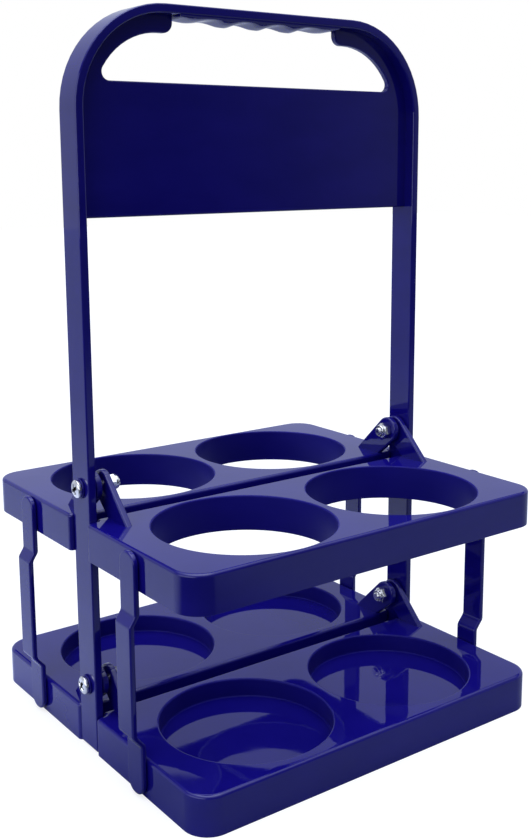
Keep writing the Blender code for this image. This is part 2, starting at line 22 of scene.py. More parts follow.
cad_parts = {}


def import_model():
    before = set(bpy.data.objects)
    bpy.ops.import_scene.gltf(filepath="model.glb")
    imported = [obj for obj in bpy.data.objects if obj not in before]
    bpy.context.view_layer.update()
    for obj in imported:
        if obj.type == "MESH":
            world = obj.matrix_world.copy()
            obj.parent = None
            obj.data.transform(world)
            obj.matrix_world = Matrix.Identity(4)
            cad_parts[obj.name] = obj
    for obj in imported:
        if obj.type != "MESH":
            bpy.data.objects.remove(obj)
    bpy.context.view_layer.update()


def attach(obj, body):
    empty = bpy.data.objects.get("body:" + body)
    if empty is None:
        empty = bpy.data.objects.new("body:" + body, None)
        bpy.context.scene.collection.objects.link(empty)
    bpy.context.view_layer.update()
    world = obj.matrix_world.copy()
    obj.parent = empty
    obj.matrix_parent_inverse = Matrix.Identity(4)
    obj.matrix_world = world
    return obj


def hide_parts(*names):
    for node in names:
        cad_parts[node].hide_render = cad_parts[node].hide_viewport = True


Array = np.ndarray
Span = tuple[float, float]
Triple = tuple[float, float, float]
Colour = tuple[float, float, float, float]

LOG = logging.getLogger("bottle_carrier")
METRE = 1000.0  # millimetres in a metre
ARC_STEP = math.radians(6)  # from one point of a bend to the next, at most
SHARP_ANGLE = math.radians(38)  # past which an edge is shaded as an edge
PLACE_GRAIN = 1e-5  # places nearer than this are one, and triangles smaller than this are none
BORE_POINTS = 48  # round a bore, a pin or a pin's hole
ROUND_POINTS = 96  # round a bolt or a washer
CUT_PAST = 1.0  # by which a cutter reaches past what it cuts
CLEAR = 0.1  # the least that is left between one loop and the next
SIDES = (-1, 1)  # left and right along X
RIGHT_ANGLE = math.pi / 2
RECESS_SHADE_ATTRIBUTE = "painted_recess_shade"  # the attribute that says how deep the bolt's recess is, where painted shade darkens it


class Plane(Enum):
    """How an outline's own plane lies in the carrier."""

    LEVEL = "seen from above, thickened upwards"
    UPRIGHT = "seen from the front, thickened towards the front"
    ENDWISE = "seen from the right end, thickened towards it"

    def place(self, u: Array, v: Array, w: Array) -> Array:
        """Points at u and v in the plane and w along its thickness, right-handed in each plane."""
        if self is Plane.LEVEL:
            return np.stack((u, v, w), axis=-1)
        if self is Plane.UPRIGHT:
            return np.stack((u, -w, v), axis=-1)
        return np.stack((w, u, v), axis=-1)


class Row(Enum):
    """The two sides on which trays hang, each with its word in the names of pieces."""

    FRONT = "front"
    BACK = "back"

    @property
    def turn(self) -> Matrix:
        """The turn about Z that carries a front tray to this side."""
        return half_turn(self is Row.BACK)


def half_turn(needed: bool) -> Matrix:
    """Half a turn about Z where it is needed, and no turn elsewhere."""
    return Matrix.Rotation(math.pi if needed else 0.0, 4, "Z")


@dataclass(frozen=True)
class Arc:
    """One bend of an outline, travelled from one angle to another about its centre."""

    centre: Span
    radius: float
    start: float
    end: float

    def mirrored(self) -> Arc:
        """The same bend on the other side of the v axis, travelled the way the loop runs there."""
        return Arc((-self.centre[0], self.centre[1]), self.radius, math.pi - self.end, math.pi - self.start)

    def trace(self) -> tuple[Array, Array]:
        """Points along the bend and the outward direction at each.

        A point is centre + radius * (cos a, sin a). Outward is (cos a, sin a) where the angle grows,
        on a corner of the material, and the opposite where it falls, on a bend into the material.

        Returns:
            Two arrays of shape (points, 2).
        """
        steps = max(3, math.ceil(abs(self.end - self.start) / ARC_STEP))
        angle = np.linspace(self.start, self.end, steps + 1)
        spoke = np.column_stack((np.cos(angle), np.sin(angle)))
        side = math.copysign(1.0, self.end - self.start)
        return np.asarray(self.centre) + self.radius * spoke, side * spoke


def corner(before: Sequence[float], at: Sequence[float], after: Sequence[float], radius: float) -> Arc:
    """The bend that rounds the corner between two straight runs.

    The bend starts radius * tan(turn / 2) before the corner, with its centre a radius to the side
    towards which the outline turns.

    Args:
        before: A point on the run that leads to the corner.
        at: The corner.
        after: A point on the run that leaves it.
        radius: The bend's radius.

    Returns:
        The bend, travelled from the first run to the second.
    """
    heading = math.atan2(at[1] - before[1], at[0] - before[0])
    turn = math.atan2(after[1] - at[1], after[0] - at[0]) - heading
    turn = (turn + math.pi) % math.tau - math.pi
    side = math.copysign(1.0, turn)
    setback = radius * math.tan(abs(turn) / 2)
    centre = (
        at[0] - setback * math.cos(heading) - side * radius * math.sin(heading),
        at[1] - setback * math.sin(heading) + side * radius * math.cos(heading),
    )
    start = heading - side * RIGHT_ANGLE
    return Arc(centre, radius, start, start + turn)


@dataclass(frozen=True)
class Outline:
    """A closed flat loop with its material on the left, and the outward direction at each point."""

    points: Array
    outward: Array

    @classmethod
    def of(cls, arcs: Sequence[Arc]) -> Outline:
        """The loop that runs through bends in order, straight from each to the next."""
        points, outward = zip(*[arc.trace() for arc in arcs])
        return cls(np.concatenate(points), np.concatenate(outward))

    @classmethod
    def polygon(cls, corners: Sequence[Triple]) -> Outline:
        """The loop through corners (u, v, radius), each rounded by its own radius."""
        count = len(corners)
        return cls.of([
            corner(corners[k - 1][:2], corners[k][:2], corners[(k + 1) % count][:2], corners[k][2])
            for k in range(count)
        ])

    @classmethod
    def hole(cls, centre: Sequence[float], radius: float, count: int) -> Outline:
        """A round hole, which runs clockwise so that its material is on the left."""
        angle = np.linspace(0.0, -math.tau, count, endpoint=False)
        spoke = np.column_stack((np.cos(angle), np.sin(angle)))
        return cls(np.asarray(centre) + radius * spoke, -spoke)


@dataclass(frozen=True)
class Wall:
    """The upright side of a plate, with its foot and its top rounded into the faces."""

    low: float
    high: float
    foot_round: float = 0.0
    top_round: float = 0.0
    steps: int = 6

    def rows(self) -> Array:
        """Depth into the material and height of each row, from the foot to the top.

        On a round of radius e at angle a, the depth is e * (1 - cos a) and the height stands
        e * (1 - sin a) from the face.
        """
        angle = np.linspace(0.0, RIGHT_ANGLE, self.steps + 1)
        foot = np.array([[0.0, self.low]])
        top = np.array([[0.0, self.high]])
        if self.foot_round:
            back = angle[::-1]
            foot = np.column_stack((1 - np.cos(back), 1 - np.sin(back))) * self.foot_round + foot
        if self.top_round:
            top = np.column_stack((1 - np.cos(angle), np.sin(angle) - 1)) * self.top_round + top
        return np.concatenate((foot, top))

    def cup_rows(self, floor_round: float) -> Array:
        """The rows of a cup's side, which starts on the cup's floor at the foot with a hollow round.

        The hollow round of radius f lies -f * (1 - sin a) deep and f * (1 - cos a) above the floor.
        """
        angle = np.linspace(0.0, RIGHT_ANGLE, self.steps + 1)
        foot = np.column_stack((np.sin(angle) - 1, 1 - np.cos(angle))) * floor_round + (0.0, self.low)
        return np.concatenate((foot, self.rows()[1:]))


def constrained(loops: Sequence[Array], rungs: Array | None = None) -> tuple[Array, ...]:
    """Triangles over flat loops, with no triangle across a loop or a rung.

    Args:
        loops: Closed loops of points, which may cross each other.
        rungs: Pairs of indices, into the loops joined end to end, that also stay edges.

    Returns:
        The points, the triangles, counter-clockwise, and each point's index in the loops, or -1.
    """
    counts = np.array([len(loop) for loop in loops])
    starts = np.cumsum(counts) - counts
    edges = [start + np.column_stack((np.arange(count), (np.arange(count) + 1) % count))
             for start, count in zip(starts, counts)]
    if rungs is not None:
        edges.append(rungs)
    places, lines = np.concatenate(loops).tolist(), np.concatenate(edges).tolist()
    made, _, corners, sources, *_ = delaunay_2d_cdt(places, lines, [], 0, PLACE_GRAIN, True)
    points = np.array(made)[:, :2]
    triangles = np.array(corners)
    origin = np.array([source[0] if source else -1 for source in sources])
    a, b, c = (points[triangles[:, k]] for k in range(3))
    area = (b - a)[:, 0] * (c - a)[:, 1] - (b - a)[:, 1] * (c - a)[:, 0]
    triangles[area < 0] = triangles[area < 0][:, ::-1]
    return points, triangles[np.abs(area) > PLACE_GRAIN], origin


def inside(places: Array, loop: Array) -> Array:
    """Whether each place lies inside a loop: a line to its right crosses the loop an odd number of times."""
    start, end = loop, np.roll(loop, -1, axis=0)
    height = places[:, None, 1]
    spans = (start[None, :, 1] > height) != (end[None, :, 1] > height)
    rise = np.where(end[:, 1] == start[:, 1], 1.0, end[:, 1] - start[:, 1])
    at = start[:, 0] + (end[:, 0] - start[:, 0]) * (height - start[:, 1]) / rise
    return (spans & (places[:, None, 0] < at)).sum(axis=1) % 2 == 1


@dataclass(frozen=True)
class Rim:
    """A flat loop of a shell, up to which a face is filled: its places and its points' indices."""

    places: Array
    index: Array


@dataclass
class Shell:
    """One closed surface, gathered as arrays of points and of faces."""

    plane: Plane = Plane.LEVEL
    points: list[Array] = field(default_factory=list)
    faces: list[Array] = field(default_factory=list)
    count: int = 0

    def add(self, points: Array) -> Array:
        """Take in points of shape (..., 3) and return their indices, of shape (...)."""
        flat = points.reshape(-1, 3)
        index = np.arange(self.count, self.count + len(flat)).reshape(points.shape[:-1])
        self.points.append(flat)
        self.count += len(flat)
        return index

    def lay(self, places: Array, height: float) -> Array:
        """Take in flat places at one height of the shell's plane and return their indices."""
        return self.add(self.plane.place(places[:, 0], places[:, 1], np.full(len(places), height)))

    def skin(self, grid: Array, ring: bool = False) -> None:
        """Quads between each row of an index grid and the next, all the way round each row.

        Args:
            grid: Indices, one row for each loop.
            ring: Whether the last row also joins the first.
        """
        low = grid if ring else grid[:-1]
        high = np.roll(grid, -1, axis=0) if ring else grid[1:]
        quads = np.stack((low, np.roll(low, -1, axis=1), np.roll(high, -1, axis=1), high), axis=-1)
        self.faces.append(quads.reshape(-1, 4))

    def wall(self, outline: Outline, rows: Array) -> tuple[Rim, Rim]:
        """Carry a profile of (depth, height) rows round an outline and return its first and last row."""
        places = outline.points[None] - rows[:, 0, None, None] * outline.outward[None]
        heights = np.broadcast_to(rows[:, 1, None], places.shape[:2])
        grid = self.add(self.plane.place(places[..., 0], places[..., 1], heights))
        self.skin(grid)
        return Rim(places[0], grid[0]), Rim(places[-1], grid[-1])

    def fill(self, rims: Sequence[Rim], top: bool, rungs: Array | None = None) -> None:
        """Close the flat space inside an odd number of the shell's rims.

        Args:
            rims: The loops round the space.
            top: Whether the face looks along the thickness, and not against it.
            rungs: Edges that the fill keeps, as for constrained().
        """
        points, triangles, origin = constrained([rim.places for rim in rims], rungs)
        middle = points[triangles].mean(axis=1)
        odd = sum(inside(middle, rim.places).astype(int) for rim in rims) % 2 == 1
        faces = np.concatenate([rim.index for rim in rims])[origin[triangles[odd]]]
        self.faces.append(faces if top else faces[:, ::-1])

    def cap(self, ring: Array, centre: Sequence[float], top: bool) -> None:
        """Close a ring of indices with triangles to one point."""
        hub = int(self.add(np.array([centre], dtype=float))[0])
        around = np.roll(ring, -1)
        faces = np.column_stack((ring, around, np.full(len(ring), hub)))
        self.faces.append(faces if top else faces[:, ::-1])

    def mesh(self, name: str) -> Mesh:
        """The surface as a mesh in metres, its faces turned outwards.

        The sum of a . (b x c) over the triangles is six times the volume inside, so a negative sum
        means that the faces look inwards.
        """
        points = np.concatenate(self.points)
        corners = np.concatenate([face[:, :3] for face in self.faces] + [
            face[:, (0, 2, 3)] for face in self.faces if face.shape[1] == 4])
        a, b, c = (points[corners[:, k]] for k in range(3))
        if (a * np.cross(b, c)).sum() < 0:
            self.faces = [face[:, ::-1] for face in self.faces]
        mesh = bpy.data.meshes.new(name)
        mesh.from_pydata((points / METRE).tolist(), [], [row for face in self.faces for row in face.tolist()])
        mesh.validate()
        return mesh


def plate(name: str, plane: Plane, outer: Outline, holes: Sequence[Outline], wall: Wall,
          hole_wall: Wall | None = None) -> Mesh:
    """A flat plate with rounded edges: a wall round each loop and a fill on both faces.

    Args:
        name: The mesh's name.
        plane: The plane in which the outline lies.
        outer: The plate's outline.
        holes: Its holes.
        wall: The profile round the outline.
        hole_wall: The profile round the holes, if it differs.

    Returns:
        A closed mesh.
    """
    shell = Shell(plane)
    sides = [(outer, wall)] + [(hole, hole_wall or wall) for hole in holes]
    feet, tops = zip(*[shell.wall(loop, side.rows()) for loop, side in sides])
    shell.fill(feet, top=False)
    shell.fill(tops, top=True)
    return shell.mesh(name)


def about_x(x: Array, radius: Array, angle: Array) -> Array:
    """Points (x, r cos a, r sin a), with a row for each x and a column for each angle."""
    y, z = radius * np.cos(angle), radius * np.sin(angle)
    return np.stack((np.broadcast_to(x, y.shape), y, z), axis=-1)


def turned(name: str, profile: Array, count: int, ring: bool = False) -> Mesh:
    """A surface of revolution about the X axis.

    Args:
        name: The mesh's name.
        profile: Rows of (x, radius). An end of radius zero closes to one point.
        count: How many angles.
        ring: Whether the profile is closed, as a washer's is.

    Returns:
        A closed mesh.
    """
    angle = np.linspace(0.0, math.tau, count, endpoint=False)
    shell = Shell()
    x, radius = (profile if ring else profile[1:-1]).T[..., None]
    grid = shell.add(about_x(x, radius, angle))
    shell.skin(grid, ring)
    if not ring:
        shell.cap(grid[0], (profile[0, 0], 0.0, 0.0), top=False)
        shell.cap(grid[-1], (profile[-1, 0], 0.0, 0.0), top=True)
    return shell.mesh(name)


def rod(start: float, end: float, radius: float, place: Sequence[float]) -> Mesh:
    """A round rod along X about a place, which cuts a bore."""
    profile = np.array([(start, 0), (start, radius), (end, radius), (end, 0)])
    return moved(turned("rod", profile, BORE_POINTS), Matrix.Translation(place), "rod")


def rounded_profile(corners: Sequence[Triple]) -> Array:
    """An open profile of (x, radius) through corners (x, radius, bend), its two ends left sharp."""
    rows = [np.array([corners[0][:2]])]
    for before, at, after in zip(corners, corners[1:], corners[2:]):
        rows.append(corner(before[:2], at[:2], after[:2], at[2]).trace()[0] if at[2] else np.array([at[:2]]))
    rows.append(np.array([corners[-1][:2]]))
    return np.concatenate(rows)


def linked(name: str, data: Mesh | Camera) -> Object:
    """A new object in the scene."""
    obj = bpy.data.objects.new(name, data)
    bpy.context.scene.collection.objects.link(obj)
    return obj


def combined(target: Mesh, tools: Sequence[Mesh], operation: str) -> Mesh:
    """A mesh with tool meshes joined to it or cut from it, as one closed surface.

    Args:
        target: The mesh to start from.
        tools: Closed meshes.
        operation: UNION or DIFFERENCE.

    Returns:
        The new mesh, under the target's name.
    """
    objects = [linked(mesh.name, mesh) for mesh in (target, *tools)]
    for tool in objects[1:]:
        modifier = objects[0].modifiers.new(tool.name, "BOOLEAN")
        modifier.operation = operation
        modifier.solver = "EXACT"
        modifier.object = tool
    depsgraph = bpy.context.evaluated_depsgraph_get()
    result = bpy.data.meshes.new_from_object(objects[0].evaluated_get(depsgraph))
    result.name = target.name
    for obj in objects:
        bpy.data.objects.remove(obj)
    return result


def moved(mesh: Mesh, matrix: Matrix, name: str) -> Mesh:
    """A copy of a mesh, carried by a matrix of a turn and a shift in millimetres."""
    copy = mesh.copy()
    copy.name = name
    shift = Matrix.Translation(matrix.to_translation() / METRE)
    copy.transform(shift @ matrix.to_3x3().to_4x4())
    return copy


def install(name: str, mesh: Mesh, body: str, node: str, finish: Finish) -> None:
    """Put a finished mesh into the scene in place of a CAD node.

    Args:
        name: The piece's name.
        mesh: Its mesh, already in place.
        body: The CAD body that it rides on.
        node: The CAD node that it stands for.
        finish: What its surface is.
    """
    mesh.shade_smooth()
    mesh.set_sharp_from_angle(angle=SHARP_ANGLE)
    obj = linked(name, mesh)
    normals = obj.modifiers.new("even shading", "WEIGHTED_NORMAL")
    normals.keep_sharp = True
    normals.weight = 50
    mesh.materials.clear()
    mesh.materials.append(finish.material())
    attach(obj, body)
    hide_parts(node)
    LOG.info("%s: %d points on %s", name, len(mesh.vertices), body)


class Wire:
    """A number in a shader, whose arithmetic adds Math nodes."""

    def __init__(self, graph: Graph, socket: NodeSocket) -> None:
        """Wrap an output socket of a graph."""
        self.graph = graph
        self.socket = socket

    def __add__(self, other: Wire | float) -> Wire:
        """The sum with another number."""
        return self.graph.math("ADD", self, other)

    __radd__ = __add__

    def __sub__(self, other: Wire | float) -> Wire:
        """This number less another."""
        return self.graph.math("SUBTRACT", self, other)

    def __rsub__(self, other: Wire | float) -> Wire:
        """Another number less this one."""
        return self.graph.math("SUBTRACT", other, self)

    def __mul__(self, other: Wire | float) -> Wire:
        """The product with another number."""
        return self.graph.math("MULTIPLY", self, other)

    __rmul__ = __mul__

    def ramp(self, low: float, high: float) -> Wire:
        """A smooth step from 0 at one value of this number to 1 at another."""
        inputs = {"Value": self, "From Min": low, "From Max": high}
        return self.graph.wire("Result", "ShaderNodeMapRange", inputs, interpolation_type="SMOOTHSTEP")


class Graph:
    """A node tree under construction."""

    def __init__(self, owner: Material | World) -> None:
        """Start on the emptied nodes of a material or of the world."""
        owner.use_nodes = True
        self.tree = owner.node_tree
        self.tree.nodes.clear()

    def node(self, kind: str, inputs: dict[str | int, Any] | None = None, **settings: Any) -> Node:
        """Add a node.

        Args:
            kind: The node's type.
            inputs: A value, a Wire or an output socket for each input, by name or by number.
            **settings: The node's own settings, set first.

        Returns:
            The node.
        """
        node = self.tree.nodes.new(kind)
        for key, value in settings.items():
            setattr(node, key, value)
        for key, value in (inputs or {}).items():
            source = value.socket if isinstance(value, Wire) else value
            if isinstance(source, NodeSocket):
                self.tree.links.new(source, node.inputs[key])
            else:
                node.inputs[key].default_value = source
        return node

    def wire(self, output: str, kind: str, inputs: dict[str | int, Any], **settings: Any) -> Wire:
        """Add a node, as node() does, and take the number at one of its outputs."""
        return Wire(self, self.node(kind, inputs, **settings).outputs[output])

    def math(self, operation: str, *values: Wire | float) -> Wire:
        """Add a Math node on one or two values."""
        return self.wire("Value", "ShaderNodeMath", dict(enumerate(values)), operation=operation)

    def axes(self, place: NodeSocket) -> tuple[Wire, Wire, Wire]:
        """The three numbers of a place or a direction."""
        split = self.node("ShaderNodeSeparateXYZ", {0: place})
        x, y, z = (Wire(self, output) for output in split.outputs)
        return x, y, z

    def rays(self) -> tuple[Wire, Wire]:
        """Whether the camera looks straight at a place, and whether it sees it in or through a surface."""
        ray = self.node("ShaderNodeLightPath").outputs
        camera, glossy, through = (
            Wire(self, ray[f"Is {kind} Ray"]) for kind in ("Camera", "Glossy", "Transmission"))
        return camera, glossy + through

    def mix(self, share: Wire | float, first: Any, second: Any) -> NodeSocket:
        """A colour between two colours."""
        return self.node("ShaderNodeMix", {0: share, 6: first, 7: second}, data_type="RGBA").outputs[2]

    def place(self) -> NodeSocket:
        """The object's own coordinates, in metres."""
        return self.node("ShaderNodeTexCoord").outputs["Object"]

    def noise(self, place: NodeSocket, scale: float, detail: float = 2.0,
              roughness: float = 0.5) -> Wire:
        """Smooth noise from 0 to 1, with so many cells to a metre."""
        inputs = {"Vector": place, "Scale": scale, "Detail": detail, "Roughness": roughness}
        return self.wire("Fac", "ShaderNodeTexNoise", inputs)

    def stretched(self, place: NodeSocket, factors: Sequence[float]) -> NodeSocket:
        """Coordinates multiplied along each axis, for marks longer one way than the other."""
        node = self.node("ShaderNodeVectorMath", {0: place, 1: tuple(factors)}, operation="MULTIPLY")
        return node.outputs[0]

    def bump(self, height: Wire, strength: float, distance: float,
             under: NodeSocket | None = None) -> NodeSocket:
        """A normal bent by a height."""
        inputs = {"Height": height, "Strength": strength, "Distance": distance}
        if under is not None:
            inputs["Normal"] = under
        return self.node("ShaderNodeBump", inputs).outputs["Normal"]


@dataclass(frozen=True)
class Finish:
    """What a surface is made of. Each kind says how its shader is wired."""

    name: str
    slot: str

    def material(self) -> Material:
        """The finish's material, made the first time that it is asked for."""
        found = bpy.data.materials.get(self.name)
        if found:
            return found
        made = bpy.data.materials.new(self.name)
        graph = Graph(made)
        graph.node("ShaderNodeOutputMaterial", {"Surface": self.shader(graph).outputs[0]})
        return made

    def shader(self, graph: Graph) -> Node:
        """The node whose first output is the surface."""
        return graph.node("ShaderNodeBsdfPrincipled", self.inputs(graph))

    def inputs(self, graph: Graph) -> dict[str, Any]:
        """Values and links for the shader's sockets."""
        raise NotImplementedError


@dataclass(frozen=True)
class PolishedPlastic(Finish):
    """Blue plastic from a polished mould: glassy, with faint flow marks and a little handling haze."""

    deep: Colour = (0.0046, 0.0029, 0.138, 1.0)
    pale: Colour = (0.0074, 0.0047, 0.167, 1.0)
    gloss: float = 0.02
    haze: float = 0.035
    scuff: float = 0.06
    refraction: float = 1.49
    flow_shape: Triple = (1.0, 1.0, 2.2)
    rub_shape: Triple = (1.0, 0.16, 0.5)
    flow_cells: float = 26.0
    haze_cells: float = 60.0
    rub_cells: float = 1400.0
    speck_cells: float = 900.0
    ripple_cells: float = 55.0
    peel_cells: float = 620.0
    ripple_height: float = 0.00012
    peel_height: float = 0.00002

    def inputs(self, graph: Graph) -> dict[str, Any]:
        """Colour drifts with the flow, roughness with haze and fine rub marks, and the skin ripples."""
        place = graph.place()
        flow = graph.noise(graph.stretched(place, self.flow_shape), self.flow_cells, 3.0)
        cloud = graph.noise(place, self.haze_cells, 4.0, 0.6).ramp(0.42, 0.72)
        rubs = graph.noise(graph.stretched(place, self.rub_shape), self.rub_cells, 2.0, 0.6).ramp(0.62, 0.78)
        specks = graph.noise(place, self.speck_cells, 1.0).ramp(0.70, 0.80)
        rough = self.gloss + self.haze * cloud + self.scuff * rubs + self.scuff * specks
        ripple = graph.bump(graph.noise(place, self.ripple_cells, 1.0), 0.30, self.ripple_height)
        peel = graph.bump(graph.noise(place, self.peel_cells, 2.0), 0.05, self.peel_height, ripple)
        return {
            "Base Color": graph.mix(flow.ramp(0.25, 0.75), self.deep, self.pale),
            "Roughness": rough,
            "IOR": self.refraction,
            "Normal": peel,
        }


@dataclass(frozen=True)
class BoredPlastic(PolishedPlastic):
    """The same plastic on a tray, whose round walls come off a turned core and are matt."""

    radius: float = 0.040
    centre: Span = (0.0423, 0.0475)
    inner: float = 0.0004
    outer: float = 0.0004
    fade: float = 0.0005
    grain: float = 0.45
    sheen: float = 0.12

    def shader(self, graph: Graph) -> Node:
        """The polished skin, with a matt one that hardly shines over it on the round walls."""
        inputs = self.inputs(graph)
        polished = graph.node("ShaderNodeBsdfPrincipled", inputs)
        dull = graph.node("ShaderNodeBsdfPrincipled", inputs | {
            "Roughness": self.grain,
            "Specular IOR Level": self.sheen,
        })
        surfaces = {1: polished.outputs[0], 2: dull.outputs[0]}
        return graph.node("ShaderNodeMixShader", {0: self.matt(graph)} | surfaces)

    def matt(self, graph: Graph) -> Wire:
        """1 on a round wall and a little to both sides of it, and 0 past the fade.

        Each tray holds the same two round walls to the left and right, and front and back trays
        mirror each other, so one centre serves for |x| and |y|.
        """
        x, y = (graph.math("ABSOLUTE", along) - middle
                for along, middle in zip(graph.axes(graph.place()), self.centre))
        beyond = graph.math("SQRT", x * x + y * y) - self.radius
        within = beyond.ramp(-self.inner - self.fade, -self.inner)
        return within * (1.0 - beyond.ramp(self.outer, self.outer + self.fade))


@dataclass(frozen=True)
class PlatedSteel(Finish):
    """Bright zinc plating over turned steel, a little dull in patches and finely grained, with painted shade
    in a bolt's recess.
    """

    bright: Colour = (0.90, 0.89, 0.86, 1.0)
    dull: Colour = (0.70, 0.70, 0.69, 1.0)
    # painted shade: the dark colour laid into the bolt's cross recess, standing for the shade there
    recess_shade: Colour = (0.035, 0.032, 0.030, 1.0)
    polish: float = 0.11
    patch_dullness: float = 0.10
    grain_dullness: float = 0.04
    patch_cells: float = 420.0
    grain_cells: float = 2200.0
    grain_shape: Triple = (6.0, 1.0, 1.0)
    grain_height: float = 0.00001

    def inputs(self, graph: Graph) -> dict[str, Any]:
        """Patches of duller plating, painted shade in the bolt's recess where its attribute says, and a fine
        turned grain.
        """
        place = graph.place()
        painted_recess_shade = graph.wire("Fac", "ShaderNodeAttribute", {}, attribute_name=RECESS_SHADE_ATTRIBUTE)
        patch = graph.noise(place, self.patch_cells, 3.0, 0.6)
        grain = graph.noise(graph.stretched(place, self.grain_shape), self.grain_cells, 2.0)
        plating = graph.mix(patch.ramp(0.4, 0.75), self.bright, self.dull)
        dullness = self.patch_dullness * patch.ramp(0.45, 0.8) + self.grain_dullness * grain
        return {
            # the recess's depth mixes the plating towards the painted shade
            "Base Color": graph.mix(painted_recess_shade.ramp(0.10, 0.60), plating, self.recess_shade),
            "Metallic": 1.0,
            "Roughness": self.polish + dullness,
            "Normal": graph.bump(grain, 0.10, self.grain_height),
        }


BLUE_PLASTIC = PolishedPlastic("polished_blue_plastic", "blue_plastic")
RING_PLASTIC = BoredPlastic("ring_tray_plastic", "blue_plastic")
CUP_PLASTIC = BoredPlastic("cup_tray_plastic", "blue_plastic", radius=0.0385, inner=0.0007, fade=0.0004)
ZINC_STEEL = PlatedSteel("bright_zinc_steel", "steel")


@dataclass(frozen=True)
class HandleFrame:
    """The flat moulding: two posts and a top band in one, a web round the hand hole, and the grip."""

    width: float = 191.0
    depth: float = 15.0
    height: float = 325.4
    foot: float = 0.5
    band: float = 3.8
    band_edge: float = 0.7
    corner: float = 44.0
    web_thickness: float = 3.2
    web_edge: float = 0.7
    web_rim: float = 7.6
    panel_bottom: float = 237.0
    hand_hole_bottom: float = 293.5
    hand_hole_corner: float = 3.5
    web_corner: float = 1.0
    web_end: float = 45.0
    web_end_corner: float = 4.5
    grip_thickness: float = 5.2
    grip_bulge: float = 2.2
    grip_end_bulge: float = 1.2
    grip_inset: float = 0.3
    grip_end_round: float = 1.6
    grip_end_drop: float = 1.0
    grip_sections: int = 181
    section_points: int = 33
    squareness: float = 7.0
    finger_pitch: float = 18.0
    full_bulges: float = 1.35
    bulge_blend: float = 0.3
    bore: float = 2.3

    def band_outline(self) -> Outline:
        """Both posts, the round corners and the top, all of one thickness."""
        out, top, bend = self.width / 2, self.height, self.corner
        toe = self.band_edge + CLEAR
        post, under, inner_bend = out - self.band, top - self.band, bend - self.band
        return Outline.polygon([
            (out, self.foot, toe), (out, top, bend), (-out, top, bend), (-out, self.foot, toe),
            (-post, self.foot, toe), (-post, under, inner_bend), (post, under, inner_bend),
            (post, self.foot, toe)])

    def web_outline(self) -> Outline:
        """The web's outer edge, halfway into the band."""
        side = (self.width - self.band) / 2
        top = self.height - self.band / 2
        low, bend, sharp = self.panel_bottom, self.corner - self.band, self.web_corner
        return Outline.polygon([
            (side, low, sharp), (side, top, bend), (-side, top, bend), (-side, low, sharp)])

    def hand_hole(self) -> Outline:
        """The hand hole, clockwise from its top right corner inside the band.

        Its corners run round the band's own centres, its lower corners are rounds tangent to the
        level bottom, and its top opens up to the grip between the web's two rounded ends.
        """
        centre = (self.width / 2 - self.corner, self.height - self.corner)
        radius = self.corner - self.band - self.web_rim
        reach = radius - self.hand_hole_corner
        low = self.hand_hole_bottom + self.hand_hole_corner
        start = math.asin((low - centre[1]) / reach)
        end_z = centre[1] + radius + self.web_end_corner
        top, sharp = self.height - self.band / 2, self.web_corner
        right = [
            Arc((self.web_end - sharp, top - sharp), sharp, RIGHT_ANGLE, 0.0),
            Arc((self.web_end + self.web_end_corner, end_z), self.web_end_corner, -math.pi, -RIGHT_ANGLE),
            Arc(centre, radius, RIGHT_ANGLE, start),
            Arc((centre[0] + reach * math.cos(start), low), self.hand_hole_corner, start, -RIGHT_ANGLE),
        ]
        return Outline.of(right + [arc.mirrored() for arc in reversed(right)])

    def grip(self) -> Mesh:
        """The thicker grip under the top band, with its row of finger bulges.

        At x along the handle the underside stands at thickness + bulge * wave * crown below the
        band's top, where wave = (1 + cos(2 pi x / pitch)) / 2 and crown = 1 - (y / half depth)^2.
        The section's lower corners are elliptical, |y / half|^n + |z|^n = 1, n being the squareness,
        and both ends run out in a quarter round. The bulges next to the ends are lower.
        """
        half = self.depth / 2 - self.grip_inset
        x = np.linspace(-self.web_end, self.web_end, self.grip_sections)
        end = np.clip((self.web_end - np.abs(x)) / self.grip_end_round, 0.0, 1.0)
        runout = np.sqrt(1 - (1 - end) ** 2)
        outer = np.abs(x) - self.full_bulges * self.finger_pitch
        blend = np.clip(outer / (self.bulge_blend * self.finger_pitch), 0.0, 1.0)
        bulge = self.grip_bulge + (self.grip_end_bulge - self.grip_bulge) * blend
        wave = (1 + np.cos(math.tau * x / self.finger_pitch)) / 2
        angle = np.linspace(math.pi, math.tau, self.section_points)
        across = half * np.sign(np.cos(angle)) * np.abs(np.cos(angle)) ** (2 / self.squareness)
        down = np.abs(np.sin(angle)) ** (2 / self.squareness)
        crown = 1 - (across / half) ** 2
        root = self.height - self.band / 2
        own = self.grip_thickness - self.band / 2
        fall = (own - self.grip_end_drop) * runout + self.grip_end_drop * end
        z = root - down * (fall[:, None] + (bulge * wave * runout)[:, None] * crown)
        y = np.broadcast_to(across, z.shape)
        shell = Shell()
        grid = shell.add(np.stack((np.broadcast_to(x[:, None], z.shape), y, z), axis=-1))
        shell.skin(grid)
        for row, top in ((grid[0], False), (grid[-1], True)):
            shell.cap(row, np.concatenate(shell.points)[row].mean(axis=0), top)
        return shell.mesh("grip")

    def build(self) -> None:
        """Join band, web and grip into one moulding, bore it for the bolts and dress it."""
        half = self.depth / 2
        band = plate("handle_frame_body", Plane.UPRIGHT, self.band_outline(), [],
                     Wall(-half, half, self.band_edge, self.band_edge))
        thick = self.web_thickness / 2
        web = plate("web", Plane.UPRIGHT, self.web_outline(), [self.hand_hole()],
                    Wall(-thick, thick, self.web_edge, self.web_edge))
        mesh = combined(band, [web, self.grip()], "UNION")
        reach = self.width / 2 + CUT_PAST
        bores = [rod(-reach, reach, self.bore, (0.0, 0.0, tier.hinge_z)) for tier in (UPPER, LOWER)]
        mesh = combined(mesh, bores, "DIFFERENCE")
        install("handle_frame_body", mesh, "frame", "handle_frame", BLUE_PLASTIC)


